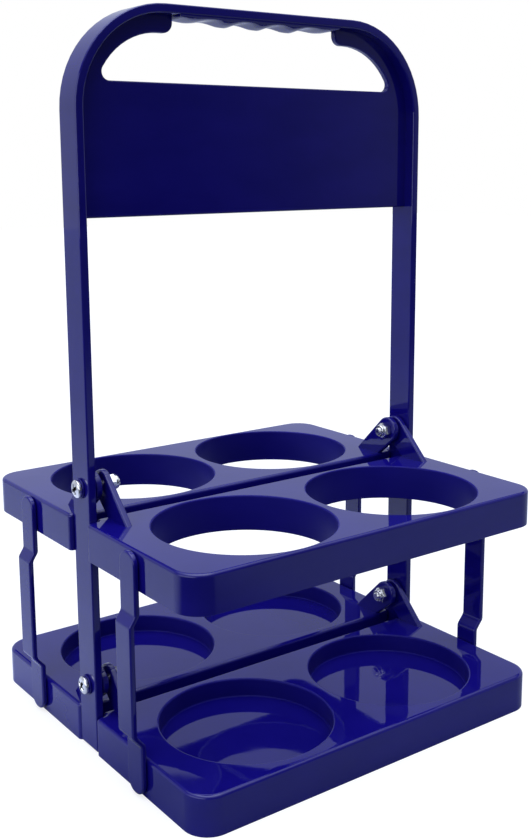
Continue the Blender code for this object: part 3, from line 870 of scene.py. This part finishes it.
@dataclass(frozen=True)
class Tray:
    """One tier's moulding, a front tray about its hinge axis: deck, skirt, holes or cups, and ears."""

    tier: str
    hinge_z: float
    hole_radius: float
    depth: float
    ear_rise: float
    half_length: float
    outer_y: float
    tube_wall: float
    cup_depth: float = 0.0
    inner_y: float = 4.5
    bottle: Span = (42.3, 47.5)
    corner: float = 11.8
    notch_x: float = 91.2
    notch_y: float = 7.8
    notch_corner: float = 2.0
    notch_bend: float = 0.8
    top_round: float = 1.7
    foot_round: float = 0.25
    rim_round: float = 0.9
    mouth_round: float = 0.4
    floor_round: float = 0.5
    floor_skin: float = 2.5
    wall: float = 2.5
    deck: float = 2.5
    rib: float = 4.0
    least_rib: float = 1.0
    rib_grip: float = 0.7
    ear_radius: float = 6.6
    ear_slope: float = math.radians(45)
    ear_heel: float = 1.2
    ear_edge: float = 0.8
    ear_root: float = 1.7
    inner_ear: Span = (82.9, 86.0)
    outer_ear: Span = (87.9, 91.0)
    bore: float = 2.3
    bore_round: float = 0.2
    pin_hole: float = 2.8
    pin_drop: float = 21.7
    link_y: float = 47.0
    round_count: int = 128

    @property
    def top(self) -> float:
        """The deck's height over the hinge axis."""
        return -self.ear_rise

    @property
    def low(self) -> float:
        """The underside's height over the hinge axis."""
        return -self.ear_rise - self.depth

    def outline(self, inset: float = 0.0) -> Outline:
        """The tray from above: round outer corners, and a notch round each post."""
        end = self.half_length - inset
        outer = -(self.outer_y - inset)
        shelf = -(self.notch_y + inset)
        inner = -(self.inner_y + inset)
        side = self.notch_x - inset
        notch = max(self.notch_corner - inset, self.notch_bend)
        right = [(end, outer, self.corner - inset), (end, shelf, notch), (side, shelf, self.notch_bend),
                 (side, inner, notch)]
        return Outline.polygon(right + [(-u, v, radius) for u, v, radius in reversed(right)])

    def stiffeners(self) -> tuple[Array, list[Array]]:
        """The skirt's inner loop, and the loops of the tubes and ribs inside it.

        Neither the skirt nor a rib crosses a hole's mouth, so that the mouth's edge stays whole. A
        rib ends inside a tube's wall, the grip being its share of it, and a very short one is left out.
        """
        x, y = self.bottle
        mouth = self.hole_radius + self.mouth_round + CLEAR
        skirt = self.outline(min(self.wall, self.outer_y - y - mouth)).points
        tubes = [Outline.hole((side * x, -y), self.hole_radius + self.tube_wall, self.round_count).points
                 for side in SIDES]
        near, far = -(self.inner_y + self.wall / 2), -(self.outer_y - self.wall / 2)
        reach = self.hole_radius + self.rib_grip * self.tube_wall
        half = min(self.rib / 2, x - mouth)
        spans = [(0.0, far, near)] + [
            (side * x, start, end) for side in SIDES for start, end in ((far, -y - reach), (reach - y, near))
            if end - start > self.least_rib]
        ribs = [np.array([(at - half, start), (at + half, start), (at + half, end), (at - half, end)])
                for at, start, end in spans]
        return skirt, tubes + ribs

    def base(self, shell: Shell, rims: Sequence[Rim]) -> None:
        """Close the underside, with the pockets between the skirt, the tubes and the ribs.

        The plane under the tray is cut along every loop. A triangle inside the skirt's inner loop
        and outside the tubes and ribs is a pocket's roof under the deck, and one elsewhere inside
        the outline lies on the ground side. Upright faces stand where the two meet.

        Args:
            shell: The tray's shell.
            rims: The loops that reach the underside, the outer one first.
        """
        skirt, bodies = self.stiffeners()
        loops = [rim.places for rim in rims]
        points, triangles, origin = constrained([*loops, skirt, *bodies])
        middle = points[triangles].mean(axis=1)
        within = inside(middle, loops[0])
        for hole in loops[1:]:
            within &= ~inside(middle, hole)
        pocket = within & inside(middle, skirt)
        for body in bodies:
            pocket &= ~inside(middle, body)
        shared = np.concatenate([rim.index for rim in rims])
        known = (origin >= 0) & (origin < len(shared))
        ground = np.full(len(points), -1)
        ground[known] = shared[origin[known]]
        used = np.unique(triangles[within])
        fresh = used[~known[used]]
        ground[fresh] = shell.lay(points[fresh], self.low)
        above = np.full(len(points), -1)
        raised = np.unique(triangles[pocket])
        above[raised] = shell.lay(points[raised], self.top - self.deck)
        shell.faces.append(ground[triangles[within & ~pocket]][:, ::-1])
        shell.faces.append(above[triangles[pocket]][:, ::-1])
        sides = triangles[pocket][:, (0, 1, 1, 2, 2, 0)].reshape(-1, 2)
        _, index, count = np.unique(np.sort(sides, axis=1), axis=0, return_index=True, return_counts=True)
        start, end = sides[index[count == 1]].T
        shell.faces.append(np.column_stack((ground[end], ground[start], above[start], above[end])))

    def ear(self, side: int, span: Span) -> Mesh:
        """A hinge ear: a lobe round the axis with two tangents down into the deck, bored for the bolt.

        Args:
            side: -1 for the left and 1 for the right.
            span: How far along X its two faces stand.

        Returns:
            A closed mesh.
        """
        low = self.top - self.ear_root
        sine, cosine = math.sin(self.ear_slope), math.cos(self.ear_slope)
        foot = -(self.ear_radius + self.ear_rise * cosine) / sine - self.ear_root * cosine / sine
        heel = Vector((-(self.inner_y + self.ear_heel), self.top))
        start = math.atan2(heel.y, heel.x) + math.acos(self.ear_radius / heel.length)
        touch = Vector((math.cos(start), math.sin(start))) * self.ear_radius
        root = heel + (heel - touch) * (self.ear_root / (touch.y - heel.y))
        back = (-self.ear_radius * sine, self.ear_radius * cosine)
        arcs = [
            corner(back, (foot, low), root, self.ear_edge),
            corner((foot, low), root, touch, self.ear_edge),
            Arc((0.0, 0.0), self.ear_radius, start, RIGHT_ANGLE + self.ear_slope),
        ]
        near, far = sorted(side * face for face in span)
        hole = Outline.hole((0.0, 0.0), self.bore, BORE_POINTS)
        edge, mouth = self.ear_edge, self.bore_round
        return plate("ear", Plane.ENDWISE, Outline.of(arcs), [hole], Wall(near, far, edge, edge),
                     Wall(near, far, mouth, mouth, steps=2))

    def opening(self, shell: Shell, side: int) -> tuple[Rim, Rim]:
        """Line one hole, or one cup and the hollow under its floor.

        Args:
            shell: The tray's shell.
            side: -1 for the left and 1 for the right.

        Returns:
            The rims on the underside and on the deck.
        """
        middle = (side * self.bottle[0], -self.bottle[1])
        hole = Outline.hole(middle, self.hole_radius, self.round_count)
        if not self.cup_depth:
            return shell.wall(hole, Wall(self.low, self.top, self.mouth_round, self.rim_round).rows())
        floor = self.top - self.cup_depth
        roof = floor - self.floor_skin
        wall = Wall(floor, self.top, top_round=self.rim_round)
        bottom, mouth = shell.wall(hole, wall.cup_rows(self.floor_round))
        shell.cap(bottom.index, (*middle, floor), top=False)
        foot, ceiling = shell.wall(hole, Wall(self.low, roof, self.mouth_round).rows())
        shell.cap(ceiling.index, (*middle, roof), top=True)
        return foot, mouth

    def mesh(self) -> Mesh:
        """The whole moulding: deck and skirt, holes or cups, underside, ears and link holes."""
        shell = Shell()
        wall = Wall(self.low, self.top, self.foot_round, self.top_round, steps=8)
        side = shell.wall(self.outline(), wall.rows())
        feet, tops = zip(side, *[self.opening(shell, hand) for hand in SIDES])
        shell.fill(tops, top=True)
        self.base(shell, feet)
        ears = [self.ear(-1, self.inner_ear), self.ear(1, self.outer_ear)]
        body = combined(shell.mesh(f"{self.tier}_tray"), ears, "UNION")
        inner, outer = self.half_length - self.wall - CUT_PAST, self.half_length + CUT_PAST
        place = (0.0, -self.link_y, -self.pin_drop)
        return combined(body, [rod(hand * inner, hand * outer, self.pin_hole, place) for hand in SIDES],
                        "DIFFERENCE")

    def build(self) -> None:
        """Dress the front tray as modelled, and the back one turned half round."""
        mesh = self.mesh()
        for row in Row:
            name = f"{row.value}_{self.tier}_tray"
            placed = moved(mesh, Matrix.Translation((0.0, 0.0, self.hinge_z)) @ row.turn, f"{name}_body")
            finish = CUP_PLASTIC if self.cup_depth else RING_PLASTIC
            install(f"{name}_body", placed, f"{row.value}_{self.tier}", name, finish)


UPPER = Tray("upper", 121.2, 40.0, 16.8, 13.5, 97.4, 89.9, 2.0, top_round=1.5, rim_round=0.8)
LOWER = Tray("lower", 30.5, 38.5, 17.6, 12.9, 96.0, 91.8, 2.8, cup_depth=8.8)


@dataclass(frozen=True)
class DropLink:
    """A strip with a jog near each end, and a snap pin on its inner face at each end."""

    width: float = 12.0
    thickness: float = 2.5
    end: float = 7.6
    end_radius: float = 5.6
    edge: float = 0.8
    spacing: float = 90.7
    standoff: float = 2.6
    upper_jog: float = 18.6
    upper_run: float = 3.9
    lower_jog: float = 15.5
    lower_run: float = 4.8
    bend: float = 1.6
    bend_reach: float = 1.5
    bend_step: float = 0.4
    x: float = 97.7
    y: float = 47.0
    pin_z: float = 99.5
    pin_radius: float = 2.5
    pin_lip: float = 0.6
    lip_length: float = 1.5
    lip_edge: float = 0.15
    tip_edge: float = 0.3
    pin_reach: float = 4.6
    pin_root: float = 1.2

    def jogs(self) -> tuple[Span, Span]:
        """The heights of the two sloping runs' ends, the lower run first."""
        foot = -self.spacing + self.lower_jog
        return (foot, foot + self.lower_run), (-self.upper_jog - self.upper_run, -self.upper_jog)

    def offset(self, height: Array) -> Array:
        """How far the strip stands out at a height, eased round its four bends.

        The sharp path is a broken line through the bends. Its mean over a window of the bend's
        length round each height has every bend rounded and the straight runs unchanged.
        """
        places = [LOWER.half_length - UPPER.half_length, self.standoff, self.standoff, 0.0]
        window = np.linspace(-self.bend / 2, self.bend / 2, 21)
        return np.interp(height[..., None] + window, np.ravel(self.jogs()), places).mean(axis=-1)

    def outline(self) -> tuple[Outline, Array]:
        """The strip seen from its outer face, with level pairs of points up both sides, and the pairs."""
        half = self.width / 2
        top, low = self.end, -self.spacing - self.end
        lower, lower_out = corner((0.0, low), (half, low), (half, top), self.end_radius).trace()
        upper, upper_out = corner((half, low), (half, top), (0.0, top), self.end_radius).trace()
        heights = np.concatenate([np.arange(start - self.bend_reach, end + self.bend_reach, self.bend_step)
                                  for start, end in self.jogs()])
        side = np.column_stack((np.full(len(heights), half), heights))
        side_out = np.broadcast_to((1.0, 0.0), side.shape)
        right = np.concatenate((lower, side, upper))
        right_out = np.concatenate((lower_out, side_out, upper_out))
        flip = np.array((-1.0, 1.0))
        points, outward = (np.concatenate((part, part[::-1] * flip)) for part in (right, right_out))
        index = np.arange(len(right))
        return Outline(points, outward), np.column_stack((index, 2 * len(right) - 1 - index))[1:-1]

    def pin(self, height: float) -> Mesh:
        """A snap pin, which points along -X from the strip's inner face and ends in a lip."""
        tip = self.pin_reach
        lip = self.pin_radius + self.pin_lip
        seat = tip - self.lip_length
        profile = rounded_profile([
            (self.pin_root, 0.0, 0.0), (self.pin_root, self.pin_radius, 0.0), (-seat, self.pin_radius, 0.0),
            (-seat, lip, self.lip_edge), (-seat - self.lip_length / 2, lip, self.tip_edge),
            (-tip, self.pin_radius - self.pin_lip, self.tip_edge), (-tip, 0.0, 0.0)])
        place = Matrix.Translation((float(self.offset(np.array(height))), 0.0, height))
        return moved(turned("snap_pin", profile, BORE_POINTS), place, "snap_pin")

    def mesh(self) -> Mesh:
        """The link about its upper pin: a plate with rungs, pushed out by the offset at each height."""
        loop, rungs = self.outline()
        shell = Shell(Plane.ENDWISE)
        rims = shell.wall(loop, Wall(0.0, self.thickness, self.edge, self.edge).rows())
        for rim, top in zip(rims, (False, True)):
            shell.fill([rim], top, rungs)
        points = np.concatenate(shell.points)
        points[:, 0] += self.offset(points[:, 2])
        shell.points = [points]
        return combined(shell.mesh("drop_link"), [self.pin(0.0), self.pin(-self.spacing)], "UNION")

    def build(self) -> None:
        """Dress the four links, one at each end of both pairs of trays."""
        mesh = self.mesh()
        for row, sides in ((Row.FRONT, SIDES), (Row.BACK, SIDES[::-1])):
            for hand, side in zip(("left", "right"), sides):
                spot = Matrix.Translation((side * self.x, -self.y, self.pin_z))
                place = row.turn @ spot @ half_turn(side < 0)
                name = f"{row.value}_{hand}"
                install(f"{name}_link_strip", moved(mesh, place, f"{name}_link_strip"), f"{name}_drop",
                        f"{name}_link", BLUE_PLASTIC)


@dataclass(frozen=True)
class Bolt:
    """A pan-head bolt with a cross recess, along X from the seat of its head at zero."""

    length: float = 20.0
    shank: float = 2.0
    pitch: float = 0.7
    thread_depth: float = 0.32
    thread_length: float = 8.0
    head: float = 4.0
    head_height: float = 2.1
    side_share: float = 0.40
    side_edge: float = 0.2
    crown_power: float = 2.4
    shank_end: float = 0.05
    point: float = 0.5
    point_taper: float = 0.6
    rows_per_turn: int = 10
    recess_arm: float = 2.4
    recess_slot: float = 0.74
    recess_depth: float = 1.4
    recess_taper: float = 0.26
    recess_ease: float = 0.8

    def recess(self, y: Array, z: Array) -> Array:
        """Depth of the cross recess at a place on the head.

        The distance inside the nearer arm is min(arm - |along|, slot - |across|). Its share of the
        taper, to the power of the ease, is the depth's share of its full value.
        """
        level = np.minimum(self.recess_arm - np.abs(y), self.recess_slot - np.abs(z))
        upright = np.minimum(self.recess_arm - np.abs(z), self.recess_slot - np.abs(y))
        share = np.clip(np.maximum(level, upright) / self.recess_taper, 0.0, 1.0)
        return self.recess_depth * share ** self.recess_ease

    def crown(self, angle: Array) -> Array:
        """Rows of points from near the head's middle to its rim.

        They stand at x = side + rise * sqrt(1 - (r / head)^power), less the recess.
        """
        over_recess = np.linspace(0.08, 0.84, 34)
        to_rim = np.sin(np.linspace(1.0, RIGHT_ANGLE, 12))
        share = np.concatenate((over_recess, to_rim))
        side = self.head_height * self.side_share
        rise = np.sqrt(np.clip(1 - share ** self.crown_power, 0.0, 1.0))
        x = side + (self.head_height - side) * rise
        places = about_x(x[:, None], share[:, None] * self.head, angle)
        places[..., 0] -= self.recess(places[..., 1], places[..., 2])
        return places

    def shaft(self, angle: Array) -> Array:
        """Rows of points from the head's side, under it and down the thread to the point.

        On the thread, r = shank - depth * t, where t is a triangle wave of x / pitch - angle / 2 pi.
        """
        side, edge = self.head_height * self.side_share / 2, self.side_edge
        smooth = self.thread_length - self.length
        thread = np.linspace(smooth, self.point - self.length,
                             int(self.thread_length / self.pitch * self.rows_per_turn))
        x, radius = np.concatenate((
            [(side, self.head), (edge, self.head), (0.0, self.head - edge), (0.0, self.shank),
             (smooth + self.shank_end, self.shank)],
            np.column_stack((thread, np.full_like(thread, self.shank))),
            [(-self.length, self.shank - self.point_taper)])).T[..., None]
        phase = x / self.pitch - angle / math.tau
        wave = np.abs(2 * (phase - np.floor(phase + 0.5)))
        cut = np.where((x <= smooth) & (x > -self.length), self.thread_depth, 0.0)
        return about_x(x, radius - cut * wave, angle)

    def mesh(self) -> Mesh:
        """The bolt as one grid of rows, with the recess's depth as the attribute that lays painted shade in
        it.
        """
        angle = np.linspace(0.0, math.tau, ROUND_POINTS, endpoint=False)
        shell = Shell()
        grid = shell.add(np.concatenate((self.crown(angle), self.shaft(angle))))
        shell.skin(grid)
        shell.cap(grid[0], (self.head_height - self.recess_depth, 0.0, 0.0), top=False)
        shell.cap(grid[-1], (-self.length, 0.0, 0.0), top=True)
        mesh = shell.mesh("bolt")
        x, y, z = np.concatenate(shell.points).T
        # the recess's depth, by which the steel's colour is darkened as painted shade
        depth = np.where(x > 0.0, self.recess(y, z) / self.recess_depth, 0.0)
        mesh.attributes.new(RECESS_SHADE_ATTRIBUTE, "FLOAT", "POINT").data.foreach_set("value", depth.astype(np.float32))
        return mesh


@dataclass(frozen=True)
class Washer:
    """A flat washer along X, its lower face at zero."""

    radius: float = 4.5
    bore: float = 2.3
    thickness: float = 0.8
    edge: float = 0.15

    def mesh(self) -> Mesh:
        """A ring of the washer's rounded section."""
        high, edge = self.thickness, self.edge
        section = Outline.polygon([(0.0, self.bore, edge), (high, self.bore, edge), (high, self.radius, edge),
                                   (0.0, self.radius, edge)])
        return turned("washer", section.points, ROUND_POINTS, ring=True)


@dataclass(frozen=True)
class LockNut:
    """A hexagonal nut with a round collar that holds its locking ring, along X from its seat."""

    across_flats: float = 7.0
    hexagon: float = 3.4
    collar_radius: float = 3.1
    collar: float = 1.6
    collar_round: float = 0.7
    collar_mouth: float = 0.35
    mouth_bend: float = 0.3
    mouth_depth: float = 0.5
    bore: float = 2.3
    bore_bend: float = 0.2
    bore_chamfer: float = 0.4
    chamfer_start: float = 3.35
    chamfer_height: float = 0.5
    chamfer_rows: int = 6
    facets: int = 120

    def mesh(self) -> Mesh:
        """One closed ring of rows, whose hexagonal rows follow both the flats and the chamfers.

        The flats stand at (across flats / 2) / cos(b), b being the angle from the nearest flat's
        middle, and the chamfers at the start radius plus the height from the face / tan 30. Each
        point takes the smaller.
        """
        angle = np.linspace(0.0, math.tau, self.facets, endpoint=False)
        nearest = np.mod(angle + math.pi / 6, math.pi / 3) - math.pi / 6
        flats = self.across_flats / 2 / np.cos(nearest)
        x = np.concatenate([np.linspace(start, start + self.chamfer_height, self.chamfer_rows)
                            for start in (0.0, self.hexagon - self.chamfer_height)])
        cone = self.chamfer_start + np.minimum(x, self.hexagon - x) / math.tan(math.pi / 6)
        hexagon = np.minimum(flats[None, :], cone[:, None])
        top = self.hexagon + self.collar
        shoulder = rounded_profile([
            (self.hexagon, self.collar_radius, 0.0), (top, self.collar_radius, self.collar_round),
            (top, self.bore + self.collar_mouth, self.mouth_bend),
            (top - self.mouth_depth, self.bore, self.bore_bend),
            (self.bore_chamfer, self.bore, self.bore_bend), (0.0, self.bore + self.bore_chamfer, 0.0)])
        rest = np.broadcast_to(shoulder[:, 1, None], (len(shoulder), len(angle)))
        radius = np.concatenate((hexagon, rest))
        along = np.concatenate((x, shoulder[:, 0]))
        shell = Shell()
        shell.skin(shell.add(about_x(along[:, None], radius, angle)), ring=True)
        return shell.mesh("lock_nut")


@dataclass(frozen=True)
class Hardware:
    """A bolt, a washer and a nut through each post, for each tier."""

    bolt: Bolt = Bolt()
    washer: Washer = Washer()
    nut: LockNut = LockNut()
    washer_x: float = 95.7
    head_x: float = 96.7
    nut_x: float = 82.7
    recess_turn: float = math.radians(28)
    nut_turn: float = math.radians(12)

    def build(self) -> None:
        """Dress all twelve fasteners, each along the X axis and turned a little about it.

        The washers are blue plastic, the bolts and nuts steel.
        """
        bolt, washer, nut = self.bolt.mesh(), self.washer.mesh(), self.nut.mesh()
        for number, tier in enumerate((UPPER, LOWER)):
            for hand, side in zip(("left", "right"), SIDES):
                outward, inward = half_turn(side < 0), half_turn(side > 0)
                places = {
                    "bolt": (bolt, ZINC_STEEL, self.head_x, outward, self.recess_turn * (1 + number)),
                    "washer": (washer, BLUE_PLASTIC, self.washer_x, outward, 0.0),
                    "nut": (nut, ZINC_STEEL, self.nut_x, inward, self.nut_turn * (1 + 2 * number)),
                }
                for kind, (mesh, finish, x, way, turn) in places.items():
                    node = f"{tier.tier}_{hand}_{kind}"
                    seat = Matrix.Translation((side * x, 0.0, tier.hinge_z))
                    place = seat @ way @ Matrix.Rotation(turn, 4, "X")
                    install(f"{node}_dressed", moved(mesh, place, f"{node}_dressed"), "frame", node, finish)


@dataclass(frozen=True)
class Lamp:
    """A wide soft lamp on the dome: its direction, its strength and the cosine at its edge."""

    axis: Triple
    strength: float
    edge: float = 0.5


@dataclass(frozen=True)
class Studio:
    """A pale floor, a soft dome of light that is brighter behind, and the photograph's camera."""

    image: tuple[int, int] = (531, 840)
    eye: Triple = (-307.683922, -422.856326, 258.130317)
    azimuth: float = math.radians(35.705743)
    elevation: float = math.radians(-10.151915)
    roll: float = math.radians(-0.442922)
    focal: float = 1117.91086
    centre: Span = (251.573829, 365.968981)
    sensor: float = 36.0
    near_clip: float = 0.01
    far_clip: float = 50.0
    floor_half: float = 4.0
    floor_near_reach: Span = (0.13, 0.30)
    floor_mid_reach: Span = (0.3, 0.9)
    floor_right_start: Span = (0.0, 0.13)
    floor_right_reach: Span = (0.5, 1.3)
    floor_back_start: Span = (-0.05, 0.08)
    floor_seen_tone: float = 0.30
    floor_seen_glow: float = 0.78
    # the floor's colour as other rays see it: painted light behind the object that fades with distance,
    # painted shade in front
    floor_near_painted_light: float = 0.72
    floor_mid_painted_light: float = 0.56
    floor_far_painted_light: float = 0.32
    floor_front_painted_shade: float = 0.06
    floor_skirt_painted_light: float = 0.24
    mirror_share: float = 0.15
    tint: Triple = (0.89, 0.96, 1.16)
    ambient: float = 0.02
    backdrop_edge: Span = (0.498, 0.512)
    backdrop_turn: Span = (-0.5, 0.7)
    lamp_core: float = 0.97
    lamps: tuple[Lamp, ...] = (
        Lamp((0.0, 0.0, 1.0), 1.9),  # overhead
        Lamp((0.0, 0.0, 1.0), 1.7, 0.84),  # overhead, narrower
        Lamp((0.0, -0.72, 0.70), 0.15),  # over the front
        Lamp((0.0, 1.0, 0.12), 0.63),  # the backdrop behind
        Lamp((-1.0, 0.0, 0.12), 0.46),  # the backdrop to the left
        Lamp((-0.98, -0.17, 0.15), 1.5, 0.72),  # the same, narrower
        Lamp((1.0, 0.0, 0.12), 0.60),  # the backdrop to the right
    )

    def shown(self, graph: Graph, behind: Wire) -> tuple[Wire, Wire]:
        """How much a place looks as the camera is to see it.

        Args:
            graph: The floor's or the world's nodes.
            behind: 1 behind the object, where mirror surfaces see a share of that look too.

        Returns:
            1 where the camera looks straight at the place, and the look's share for every ray.
        """
        camera, mirror = graph.rays()
        return camera, graph.math("MINIMUM", camera + self.mirror_share * mirror * behind, 1.0)

    def floor(self) -> None:
        """A level floor that looks white and keeps the shadow.

        Other rays see its colour carry painted light and shade: behind the object a painted pool of
        light, less of it further away, and in front painted shade, with some painted light left near
        the object and to its right. The camera sees it pale all over, and mirror surfaces see a share of
        that.
        """
        half = self.floor_half
        mesh = bpy.data.meshes.new("floor")
        mesh.from_pydata([(-half, -half, 0.0), (half, -half, 0.0), (half, half, 0.0), (-half, half, 0.0)], [],
                         [(0, 1, 2, 3)])
        obj = linked("floor", mesh)
        material = bpy.data.materials.new("studio_floor")
        graph = Graph(material)
        place = graph.place()
        x, y, _ = graph.axes(place)
        reach = graph.wire("Value", "ShaderNodeVectorMath", {0: place}, operation="LENGTH")
        far, farther = reach.ramp(*self.floor_near_reach), reach.ramp(*self.floor_mid_reach)
        # painted light behind the object, brighter near it and fading further away
        back = (self.floor_near_painted_light * (1.0 - far) + self.floor_mid_painted_light * far * (1.0 - farther)
                + self.floor_far_painted_light * farther)
        right = x.ramp(*self.floor_right_start) * (1.0 - reach.ramp(*self.floor_right_reach))
        # painted shade in front, with some painted light near the object and to its right
        front = self.floor_front_painted_shade + self.floor_skirt_painted_light * graph.math("MAXIMUM", 1.0 - far, right)
        behind = y.ramp(*self.floor_back_start)
        painted_tone = front + (back - front) * behind
        colour = graph.node("ShaderNodeVectorMath", {0: self.tint, "Scale": painted_tone}, operation="SCALE")
        # the floor as other rays see it, its colour carrying the painted light and shade
        painted_floor = graph.node("ShaderNodeBsdfDiffuse", {"Color": colour.outputs[0]})
        pale = (self.floor_seen_tone,) * 3 + (1.0,)
        diffuse = graph.node("ShaderNodeBsdfDiffuse", {"Color": pale})
        glow = graph.node("ShaderNodeEmission", {"Strength": self.floor_seen_glow})
        seen = graph.node("ShaderNodeAddShader", {0: diffuse.outputs[0], 1: glow.outputs[0]})
        _, share = self.shown(graph, behind)
        both = graph.node("ShaderNodeMixShader", {0: share, 1: painted_floor.outputs[0], 2: seen.outputs[0]})
        graph.node("ShaderNodeOutputMaterial", {"Surface": both.outputs[0]})
        mesh.materials.append(material)

    def dome(self) -> None:
        """The world: white behind the object for the camera, and wide soft lamps for the rest.

        Each lamp adds its strength times a smooth step of the cosine between the direction and the
        lamp's own, from the lamp's edge to the core. The backdrop's lamps end at its upper edge.
        """
        world = bpy.data.worlds.new("studio")
        bpy.context.scene.world = world
        graph = Graph(world)
        way = graph.node("ShaderNodeTexCoord").outputs["Generated"]
        _, y, z = graph.axes(way)
        backdrop = 1.0 - z.ramp(*self.backdrop_edge)
        level = self.ambient
        for lamp in self.lamps:
            inputs = {0: way, 1: Vector(lamp.axis).normalized()[:]}
            cosine = graph.wire("Value", "ShaderNodeVectorMath", inputs, operation="DOT_PRODUCT")
            light = lamp.strength * cosine.ramp(lamp.edge, self.lamp_core)
            level = level + (light * backdrop if lamp.axis[2] < self.backdrop_edge[0] else light)
        camera, share = self.shown(graph, y.ramp(*self.backdrop_turn) * backdrop)
        strength = level + share * (1.0 - level)
        colour = graph.mix(camera, self.tint + (1.0,), (1.0, 1.0, 1.0, 1.0))
        background = graph.node("ShaderNodeBackground", {"Color": colour, "Strength": strength})
        graph.node("ShaderNodeOutputWorld", {"Surface": background.outputs[0]})

    def camera(self) -> None:
        """The photograph's camera, from its measured place, direction, roll and focal length."""
        data = bpy.data.cameras.new("camera")
        data.sensor_fit = "HORIZONTAL"
        data.sensor_width = self.sensor
        wide, tall = self.image
        data.lens = self.sensor * self.focal / wide
        data.shift_x = (wide / 2 - self.centre[0]) / wide
        data.shift_y = (self.centre[1] - tall / 2) / wide
        data.clip_start = self.near_clip
        data.clip_end = self.far_clip
        level = math.cos(self.elevation)
        forward = Vector((math.sin(self.azimuth) * level, math.cos(self.azimuth) * level,
                          math.sin(self.elevation)))
        right = forward.cross(Vector((0.0, 0.0, 1.0))).normalized()
        up = right.cross(forward)
        cosine, sine = math.cos(self.roll), math.sin(self.roll)
        columns = (cosine * right + sine * up, cosine * up - sine * right, -forward)
        turn = Matrix(columns).transposed().to_4x4()
        camera = linked("camera", data)
        camera.matrix_world = Matrix.Translation(Vector(self.eye) / METRE) @ turn
        bpy.context.scene.camera = camera

    def build(self) -> None:
        """Set up the floor, the light and the camera."""
        self.floor()
        self.dome()
        self.camera()
        bpy.context.scene.view_settings.view_transform = "Standard"


def main() -> None:
    """Build the carrier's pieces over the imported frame, then the studio."""
    logging.basicConfig(level=logging.INFO, format="%(name)s %(message)s")
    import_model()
    HandleFrame().build()
    UPPER.build()
    LOWER.build()
    DropLink().build()
    Hardware().build()
    Studio().build()


if __name__ == "__main__":
    main()
